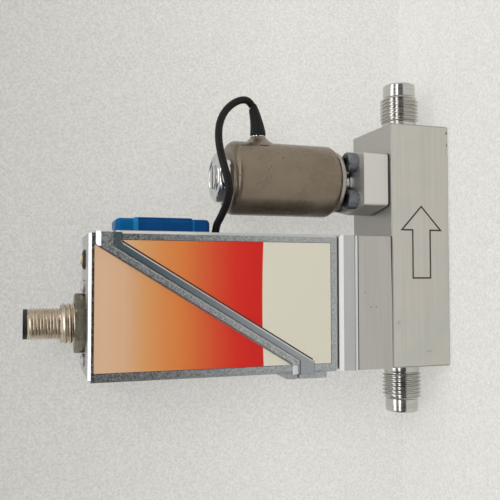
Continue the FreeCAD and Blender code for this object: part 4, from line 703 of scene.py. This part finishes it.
def coated(name, color, second, rough, metallic=0.0, specular=0.5, relief=0.05, pits=(),
           bands=()):
    """Paint, plastic or rubber; pits are small dark chips, each a place and a radius, and
    bands are stretches of height painted in a colour of their own; on the cap they are
    painted highlights."""
    material, tree, shader = new_material(name)
    set_plain(shader, metallic=metallic, roughness=rough, Specular_IOR_Level=specular)
    place, _, _, z = axes_of(tree)
    skin = add_node(tree, "Group", {"Vector": place, "Scale": 1200.0}, node_tree=cast_skin).outputs
    shade = mix_color(tree, ramp_node(tree, skin["Blotches"], 0.3, 0.7), color, second)
    join(tree, shade, shader.inputs["Base Color"])
    if pits:
        paint_over(tree, shader, times(tree, spots(tree, place, pits), 0.8), (0.02, 0.018, 0.015))
    # Bands of a colour of their own, which on the cap are painted highlights.
    for low, high, highlight_color in bands:
        paint_over(tree, shader, inside(tree, z, low, high), highlight_color)
    join(tree, ramp_node(tree, skin["Blotches"], 0.3, 0.7, rough - 0.04, rough + 0.06),
         shader.inputs["Roughness"])
    set_bump(tree, shader, skin["Height"], relief, 0.00005)
    return material


FINISHES.update(
    coil_brown=coated("coil paint", (0.195, 0.155, 0.113), (0.245, 0.198, 0.149), 0.28,
                      metallic=0.68, pits=COIL_CHIPS),
    cap_blue=coated("blue cap plastic", (0.0, 0.046, 0.165), (0.0, 0.058, 0.20), 0.34,
                    specular=0.1, bands=CAP_HIGHLIGHTS),
    black_plastic=coated("black plastic", (0.012,) * 3, (0.02,) * 3, 0.42, specular=0.35),
    button_cream=coated("cream button", (0.66, 0.58, 0.40), (0.70, 0.62, 0.44), 0.35),
    board_green=coated("green board", (0.01, 0.08, 0.03), (0.015, 0.10, 0.04), 0.3),
    seal_rubber=coated("seal rubber", (0.012,) * 3, (0.016,) * 3, 0.55, specular=0.3),
    boot_black=coated("shrunk sleeve", (0.007, 0.007, 0.0085), (0.011, 0.011, 0.014), 0.45,
                      specular=0.2),
    cable_black=coated("cable jacket", (0.005,) * 3, (0.009,) * 3, 0.45, specular=0.2,
                       relief=0.15),
    housing_zinc=HOUSING_ZINC, label_warm=LABEL_PRINT, label_cream=LABEL_PRINT)
FINISHES["chip_black"] = FINISHES["black_plastic"]
print(len(FINISHES), "finishes are ready")

# %% Give every node its finish
OWN_FINISH = {"base_body": BASE_STEEL, "valve_block": VALVE_STEEL, "sensor_block": SENSOR_STEEL,
              "foot_plate": FOOT_PLATE, "round_connector_nut": NUT_NICKEL,
              "coil_ring": DULL_RING, "housing_top_screws": FINISHES["plate_aluminium"]}


def finish_of(node, slot):
    return OWN_FINISH.get(node, FINISHES[slot])


slot_of = {part["node"]: part["material_slot"] for part in frame["record"]["subparts"]}
for name, node in nodes.items():
    node.data.materials.clear()
    node.data.materials.append(finish_of(name, slot_of[name]))
print(len(nodes), "nodes have a finish")

# %% [markdown]
# Round pieces are lathe work: half of the outline is drawn beside the axis and spun once
# round it. The spin merges its seam, and doubled points at the axis are merged after it.

# %% Lathe and placing helpers
ROUND_STEPS = 64
TURN_X = Matrix.Rotation(math.radians(90), 4, "Y")
TURN_BACK = Matrix.Rotation(math.radians(-90), 4, "Y")
AXIS_Z = (0, 0, 1)


def at(x, y, z):
    return Matrix.Translation((x * MM, y * MM, z * MM))


def lathe_part(profile, steps=ROUND_STEPS):
    """Spins a closed outline of radius and height, in millimetres, round the Z axis."""
    bm = bmesh.new()
    points = [bm.verts.new((radius * MM, 0, height * MM)) for radius, height in profile]
    edges = [bm.edges.new(pair) for pair in zip(points, points[1:] + points[:1])]
    bmesh.ops.spin(bm, geom=points + edges, angle=math.tau, steps=steps,
                   axis=AXIS_Z, cent=(0, 0, 0), use_merge=True)
    bmesh.ops.remove_doubles(bm, verts=bm.verts, dist=1e-7)
    bmesh.ops.recalc_face_normals(bm, faces=bm.faces)
    return bm


def merged(*parts):
    """Several closed shells in one mesh, so that they stay one piece."""
    whole = bmesh.new()
    for part in parts:
        mesh = bpy.data.meshes.new("part")
        part.to_mesh(mesh)
        part.free()
        whole.from_mesh(mesh)
        bpy.data.meshes.remove(mesh)
    return whole


def skin_rings(bm, loops, around=False):
    """Skins rings of points one to the next; around closes the last one to the first."""
    pairs = list(zip(loops, loops[1:]))
    if around:
        pairs.append((loops[-1], loops[0]))
    for first, second in pairs:
        for step in range(len(first)):
            after = (step + 1) % len(first)
            bm.faces.new((first[step], first[after], second[after], second[step]))


def faceted(rings, steps=96):
    """A solid ring round the Z axis: each ring has a height and a radius for every angle."""
    bm = bmesh.new()
    loops = []
    for height, radius_at in rings:
        angles = [math.tau * step / steps for step in range(steps)]
        loops.append([bm.verts.new((radius_at(angle) * math.cos(angle) * MM,
                                    radius_at(angle) * math.sin(angle) * MM, height * MM))
                      for angle in angles])
    skin_rings(bm, loops, around=True)
    bmesh.ops.recalc_face_normals(bm, faces=bm.faces)
    return bm


def hexagon(flats, limit):
    """Radius of a hexagon with its corners along X, cut down to a circle of radius limit."""
    sixth = math.radians(60)
    return lambda angle: min(flats / 2 / math.cos(angle % sixth - sixth / 2), limit)


def circle(radius):
    return lambda angle: radius


def loft(rings, steps=32):
    """A closed tube through circles, each with a centre, a heading and a radius."""
    bm = bmesh.new()
    loops = []
    for centre, heading, radius in rings:
        turned = heading.to_track_quat("Z", "Y").to_matrix().to_4x4()
        place = Matrix.Translation(centre * MM) @ turned
        rims = [Vector((math.cos(math.tau * step / steps), math.sin(math.tau * step / steps), 0))
                for step in range(steps)]
        loops.append([bm.verts.new(place @ (rim * radius * MM)) for rim in rims])
    skin_rings(bm, loops)
    bm.faces.new(loops[0])
    bm.faces.new(loops[-1])
    bmesh.ops.recalc_face_normals(bm, faces=bm.faces)
    return bm


def make_piece(name, bm, place, slot, body, stands_for, sharp=32):
    """Puts a mesh in its place and lets it stand for the node it dresses."""
    bm.transform(place)
    mesh = bpy.data.meshes.new(name)
    bm.to_mesh(mesh)
    bm.free()
    mesh.shade_smooth()
    mesh.set_sharp_from_angle(angle=math.radians(sharp))
    mesh.materials.append(finish_of(stands_for, slot))
    obj = bpy.data.objects.new(name, mesh)
    bpy.context.scene.collection.objects.link(obj)
    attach(obj, body)
    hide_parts(stands_for)
    print(name, len(mesh.polygons), "faces")


# %% [markdown]
# A screw thread is one tooth of its profile, spun many turns while it climbs one pitch a
# turn. Planes trim both ends, the crests fade into a lead-in there, and the open rims are
# drawn into the core so that no gap is left.

# %% Thread helper


def thread(crest, root, core, pitch, start, end, steps=48, lead=0.9):
    bm = bmesh.new()
    tooth = [(root, 0), (crest, 0.38), (crest, 0.50), (root, 0.88), (root, 1.0)]
    points = [bm.verts.new((radius * MM, 0, (start + (step - 1.5) * pitch) * MM))
              for radius, step in tooth]
    edges = [bm.edges.new(pair) for pair in zip(points, points[1:])]
    turns = math.ceil((end - start) / pitch) + 2
    bmesh.ops.spin(bm, geom=points + edges, angle=math.tau * turns, steps=steps * turns,
                   axis=AXIS_Z, cent=(0, 0, 0), dvec=(0, 0, pitch * MM / steps))
    bmesh.ops.remove_doubles(bm, verts=bm.verts, dist=1e-6)
    for height, sign in ((start, -1), (end, 1)):
        geometry = bm.verts[:] + bm.edges[:] + bm.faces[:]
        bmesh.ops.bisect_plane(bm, geom=geometry, dist=1e-7, plane_co=(0, 0, height * MM),
                               plane_no=(0, 0, sign), clear_outer=True)
    for vert in bm.verts:
        edge_distance = min(vert.co.z / MM - start, end - vert.co.z / MM)
        limit = root + 0.15 + (crest - root) * max(0.0, edge_distance) / lead
        radius = math.hypot(vert.co.x, vert.co.y) / MM
        if radius > limit:
            vert.co.x *= limit / radius
            vert.co.y *= limit / radius
    rims = [edge for edge in bm.edges if edge.is_boundary]
    drawn = bmesh.ops.extrude_edge_only(bm, edges=rims)["geom"]
    for vert in [item for item in drawn if isinstance(item, bmesh.types.BMVert)]:
        radius = math.hypot(vert.co.x, vert.co.y) / MM
        vert.co.x *= core / radius
        vert.co.y *= core / radius
    bmesh.ops.recalc_face_normals(bm, faces=bm.faces)
    return bm


# %% [markdown]
# The two gas fittings are the same turned piece: a neck, a threaded barrel and a plain nose
# with a rounded mouth. The body is spun from its section and the thread is laid over its
# core. The outlet's copy is the inlet's, turned to face the other way.

# %% Gas fittings
PORT_Z = 11.5
BASE_END = 43.8
FITTING_SECTION = [
    (2.3, -9.0), (5.9, -9.0), (5.9, 0.0), (6.7, 0.0), (6.7, 2.6), (6.45, 3.2), (6.15, 3.4),
    (6.15, 12.9), (5.85, 13.1), (6.05, 13.4), (6.05, 17.5), (5.95, 17.85), (5.75, 18.1),
    (5.45, 18.25), (5.1, 18.3), (3.1, 18.3), (2.55, 18.0), (2.3, 17.5)]


def make_fitting(name, place):
    body = lathe_part(FITTING_SECTION)
    screw = thread(7.14, 6.3, 6.1, 1.41, 3.3, 13.05)
    make_piece(name + "_turned", merged(body, screw), place, "fitting_steel", "body", name)


make_fitting("outlet_fitting", at(BASE_END, 0, PORT_Z) @ TURN_X)
make_fitting("inlet_fitting", at(-BASE_END, 0, PORT_Z) @ TURN_BACK)

# %% [markdown]
# The round connector has two threads: a coarse one on the collar, where the panel nut runs,
# and a fine one for the plug. The body is hollow at its end, where the black insert sits.

# %% Round connector
CONNECTOR_X, HOUSING_TOP = -26.4, 128.9
ON_LID = at(CONNECTOR_X, 0, HOUSING_TOP)


def make_connector():
    body = lathe_part([
        (0, -11.2), (6.6, -11.2), (6.6, -4.2), (8.4, -4.2), (8.4, -2.4), (5.9, -2.4), (5.9, 7.2),
        (5.5, 7.8), (4.7, 8.0), (4.7, 17.0), (4.6, 17.8), (4.3, 17.8), (4.3, 8.9), (0, 8.9)])
    collar = thread(6.6, 6.05, 5.8, 1.5, -2.2, 7.7)
    fine = thread(5.1, 4.75, 4.6, 1.0, 8.0, 17.6, lead=0.7)
    make_piece("round_connector_turned", merged(body, collar, fine), ON_LID, "connector_nickel",
               "body", "round_connector_shell")


make_connector()
NUT_RINGS = [
    (0.0, hexagon(17, 9.4)), (0.2, hexagon(17, 9.7)), (3.0, hexagon(17, 9.7)),
    (3.25, hexagon(17, 9.5)), (3.4, hexagon(17, 9.1)), (3.4, circle(7.0)), (3.2, circle(6.65)),
    (0.0, circle(6.65))]
make_piece("round_connector_hex", faceted(NUT_RINGS), ON_LID, "connector_nickel", "body",
           "round_connector_nut", 20)

# %% [markdown]
# The coil is a drawn can with rounded shoulders. The lead leaves it through a short flared
# boss. Both are lathe work, and the boss's foot is buried in the can's wall.

# %% Coil can, ring and stem
VALVE_X = 23.4
COIL_FLOOR, COIL_TALL, COIL_RADIUS = 41.0, 40.0, 13.0
BOSS_Z = 69.0


def quarter(radius, height, size, start, steps=8):
    """Points of a rounded corner whose centre is at radius and height."""
    points = []
    for step in range(steps + 1):
        angle = math.radians(start + 90 * step / steps)
        points.append((radius + size * math.cos(angle), height + size * math.sin(angle)))
    return points


def make_coil():
    shoulder = 2.9
    rim, top = COIL_RADIUS - shoulder, COIL_TALL - shoulder
    can = lathe_part([(4.85, 0.0)] + quarter(rim, shoulder, shoulder, -90) +
                     quarter(rim, top, shoulder, 0) + [(4.85, COIL_TALL)], 96)
    can.transform(at(VALVE_X, 0, COIL_FLOOR))
    boss = lathe_part([(0, -6.5), (7.4, -2.0), (6.2, -0.95), (5.0, -0.1), (4.0, 0.65), (3.2, 1.35),
                       (2.75, 1.95), (0, 1.95)], 48)
    boss.transform(at(VALVE_X + COIL_RADIUS, 0, BOSS_Z) @ TURN_X)
    make_piece("coil_painted_can", merged(can, boss), Matrix(), "coil_brown", "body", "coil_can")


make_coil()
make_piece("coil_foot_ring", lathe_part(
    [(4.85, -1.9), (10.2, -1.9)] + quarter(10.2, -0.8, 1.1, -90) + [(11.3, 0.0), (4.85, 0.0)], 96),
    at(VALVE_X, 0, COIL_FLOOR), "polished_steel", "body", "coil_ring")

# %% [markdown]
# The nut on top holds the coil on its stem. It is a hexagon that is turned down to a round
# crown, with a stepped ring in its face. The stem below the coil is turned too: it has a
# collar on the block and a fine groove in its middle.

# %% Top nut and stem
COIL_TOP = COIL_FLOOR + COIL_TALL
CROWN_RINGS = [
    (0.0, hexagon(16, 8.5)), (0.2, hexagon(16, 8.8)), (3.3, hexagon(16, 8.8)),
    (3.65, hexagon(16, 8.6)), (3.95, hexagon(16, 8.3)), (4.15, circle(7.98)),
    (4.32, circle(7.75)), (4.4, circle(7.4)), (4.4, circle(6.6)), (4.1, circle(6.45)),
    (4.1, circle(5.6)), (4.3, circle(5.4)), (4.3, circle(4.6)), (3.9, circle(4.08)),
    (0.0, circle(4.08))]
make_piece("coil_crowned_nut", faceted(CROWN_RINGS), at(VALVE_X, 0, COIL_TOP), "polished_steel",
           "body", "coil_top_nut", 25)
STEM_FOOT = 23.7
make_piece("valve_turned_stem", lathe_part([
    (4.1, 0), (6.2, 0), (6.2, 3.0), (4.75, 3.0), (4.75, 10.25), (5.3, 10.3), (5.3, 11.3),
    (5.15, 11.45), (4.75, 11.5), (4.75, 12.9), (4.55, 13.0), (4.55, 13.3), (4.75, 13.4),
    (4.75, 53.9), (4.1, 53.9)]),
    at(VALVE_X, 0, STEM_FOOT), "polished_steel", "body", "valve_sleeve")

# %% [markdown]
# The four screws of the valve block have round heads with a six-sided socket and fine
# ridges on their sides. A head starts as a circle, every second point is pulled in for
# the ridges, and the socket is a hexagon bridged to the head's rim and pushed down.

# %% Socket-head screws
HEAD_FLOOR = 33.9
SHANK = 16.2
SCREW_PLACES = [(VALVE_X + x, y) for x in (-6.7, 6.7) for y in (-6.7, 6.7)]


def socket_screw(place, shank):
    bm = bmesh.new()
    side = bmesh.ops.create_circle(bm, cap_ends=True, segments=96, radius=3.5 * MM)["verts"]
    for index, vert in enumerate(side):
        if index % 2:
            vert.co *= 0.975
    wall = bmesh.ops.extrude_face_region(bm, geom=bm.faces[:])["geom"]
    top = [item for item in wall if isinstance(item, bmesh.types.BMVert)]
    bmesh.ops.translate(bm, verts=top, vec=(0, 0, 3.6 * MM))
    face = [item for item in wall if isinstance(item, bmesh.types.BMFace)]
    for inset, rise in ((0.4, 0.4), (0.6, 0.0)):
        bmesh.ops.inset_region(bm, faces=face, thickness=inset * MM, depth=0)
        bmesh.ops.translate(bm, verts=face[0].verts, vec=(0, 0, rise * MM))
    rim = list(face[0].edges)
    bmesh.ops.delete(bm, geom=face, context="FACES_ONLY")
    corners = bmesh.ops.create_circle(bm, cap_ends=False, segments=6, radius=1.75 * MM,
                                      matrix=Matrix.Translation((0, 0, 4.0 * MM)))["verts"]
    socket = list({edge for vert in corners for edge in vert.link_edges})
    bmesh.ops.bridge_loops(bm, edges=rim + socket)
    down = bmesh.ops.extrude_edge_only(bm, edges=socket)["geom"]
    low = [item for item in down if isinstance(item, bmesh.types.BMVert)]
    bmesh.ops.translate(bm, verts=low, vec=(0, 0, -2.2 * MM))
    bmesh.ops.holes_fill(bm, edges=[edge for edge in bm.edges if edge.is_boundary])
    bmesh.ops.recalc_face_normals(bm, faces=bm.faces)
    stem = bmesh.new()
    bmesh.ops.create_cone(stem, cap_ends=True, segments=32, radius1=2.0 * MM, radius2=2.0 * MM,
                          depth=shank * MM, matrix=at(0, 0, 0.1 - shank / 2))
    whole = merged(bm, stem)
    whole.transform(place)
    return whole


make_piece("valve_socket_screws", merged(*[
    socket_screw(at(x, y, HEAD_FLOOR), SHANK) for x, y in SCREW_PLACES]), Matrix(),
    "screw_steel", "body", "valve_screws", 30)

# %% [markdown]
# The lead is one soft cable. It leaves the shrunk sleeve, doubles back in a loop in front of
# the nut and goes into the housing through a rubber grommet. It is a smooth curve with the
# same points as the solid, given the cable's thickness.

# %% Cable
CABLE_RADIUS = 1.3
BOOT_TIP = Vector((49.55, 0, 71.1))
INSIDE = Vector((0.9, -4.0, 85.95))
MOUTH = INSIDE + Vector((4.6, 0, 0))
LOOP_RISE, LOOP_SIDE = 11.14, 10.62
SHARES = [(-0.048, 0.074, 0.333), (-0.023, 0.159, 0.605), (0.057, 0.299, 0.885),
          (0.172, 0.462, 1.000), (0.304, 0.657, 0.932), (0.433, 0.835, 0.751),
          (0.546, 0.961, 0.528), (0.644, 1.000, 0.308), (0.737, 0.927, 0.122),
          (0.830, 0.666, 0.016), (0.918, 0.313, -0.012)]
HEADING = Vector((1.4, -0.2, 1.0)).normalized()
route = [BOOT_TIP, BOOT_TIP + HEADING * 1.75]
for way, side, rise in SHARES:
    out = Vector((0, -side * LOOP_SIDE, rise * LOOP_RISE))
    route.append(BOOT_TIP + (MOUTH - BOOT_TIP) * way + out)
route += [MOUTH, INSIDE]


def make_cable():
    curve = bpy.data.curves.new("coil_lead", "CURVE")
    curve.dimensions = "3D"
    curve.resolution_u = 12
    curve.bevel_depth = CABLE_RADIUS * MM
    curve.bevel_resolution = 6
    curve.use_fill_caps = True
    line = curve.splines.new("NURBS")
    line.points.add(len(route) - 1)
    for point, place in zip(line.points, route):
        point.co = (*(place * MM), 1)
    line.order_u = 3
    line.use_endpoint_u = True
    obj = bpy.data.objects.new("coil_lead", curve)
    obj.data.materials.append(FINISHES["cable_black"])
    bpy.context.scene.collection.objects.link(obj)
    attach(obj, "body")
    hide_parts("valve_cable")
    return obj


lead = make_cable()
print("lead has", len(route), "points")

# %% [markdown]
# The sleeve over the cable's root is shrunk on: it narrows along a bent line and ends in a
# slanting cut. A thin bright ferrule sits between it and the boss of the coil.

# %% Shrunk sleeve and ferrule
BOOT_ROOT, BOOT_MIDDLE = Vector((38.85, 0, 69.0)), Vector((44.2, 0, 69.63))
BOOT_WIDTHS = [(0.0, 2.62), (0.04, 2.8), (0.12, 2.78), (0.25, 2.6), (0.4, 2.38), (0.55, 2.16),
               (0.7, 1.98), (0.85, 1.8), (0.97, 1.66), (1.0, 1.5)]
FERRULE_X = 38.35


def boot_ring(share, radius):
    """A ring on the parabola through the sleeve's root, middle and tip."""
    bend = BOOT_ROOT * 2 - BOOT_MIDDLE * 4 + BOOT_TIP * 2
    slope = BOOT_MIDDLE * 4 - BOOT_ROOT * 3 - BOOT_TIP
    centre = BOOT_ROOT + slope * share + bend * share * share
    heading = Vector((1, 0, 0)) if share == 0 else slope + bend * 2 * share
    slant = Vector((0, 0, 1)) * max(0.0, share - 0.85) * 40
    return centre, (heading + slant).normalized(), radius


make_piece("shrunk_sleeve", loft([boot_ring(*pair) for pair in BOOT_WIDTHS]), Matrix(),
           "boot_black", "body", "cable_boot", 40)
make_piece("bright_ferrule", lathe_part([
    (0, 0), (2.6, 0), (2.78, 0.1), (2.78, 0.4), (2.6, 0.5), (0, 0.5)], 48),
    at(FERRULE_X, 0, BOSS_Z) @ TURN_X, "polished_steel", "body", "lead_ferrule")

# %% [markdown]
# The button is a cream cap in a black rimmed collar on the lid. It travels with its own body.

# %% Button and its collar
BUTTON_X = -5.7
make_piece("button_cap", lathe_part([
    (0, -2.75), (2.4, -2.75), (2.4, -2.25), (1.65, -2.25), (1.65, 1.3), (1.55, 1.55), (1.25, 1.7),
    (0, 1.7)], 48), at(BUTTON_X, 0, HOUSING_TOP), "button_cream", "button", "push_button")
make_piece("button_collar", lathe_part([
    (1.73, 0), (3.4, 0), (3.35, 0.2), (3.0, 0.6), (2.6, 0.85), (2.3, 0.95), (1.9, 0.95),
    (1.73, 0.85)], 48),
    at(BUTTON_X, 0, HOUSING_TOP), "black_plastic", "body", "button_bezel")
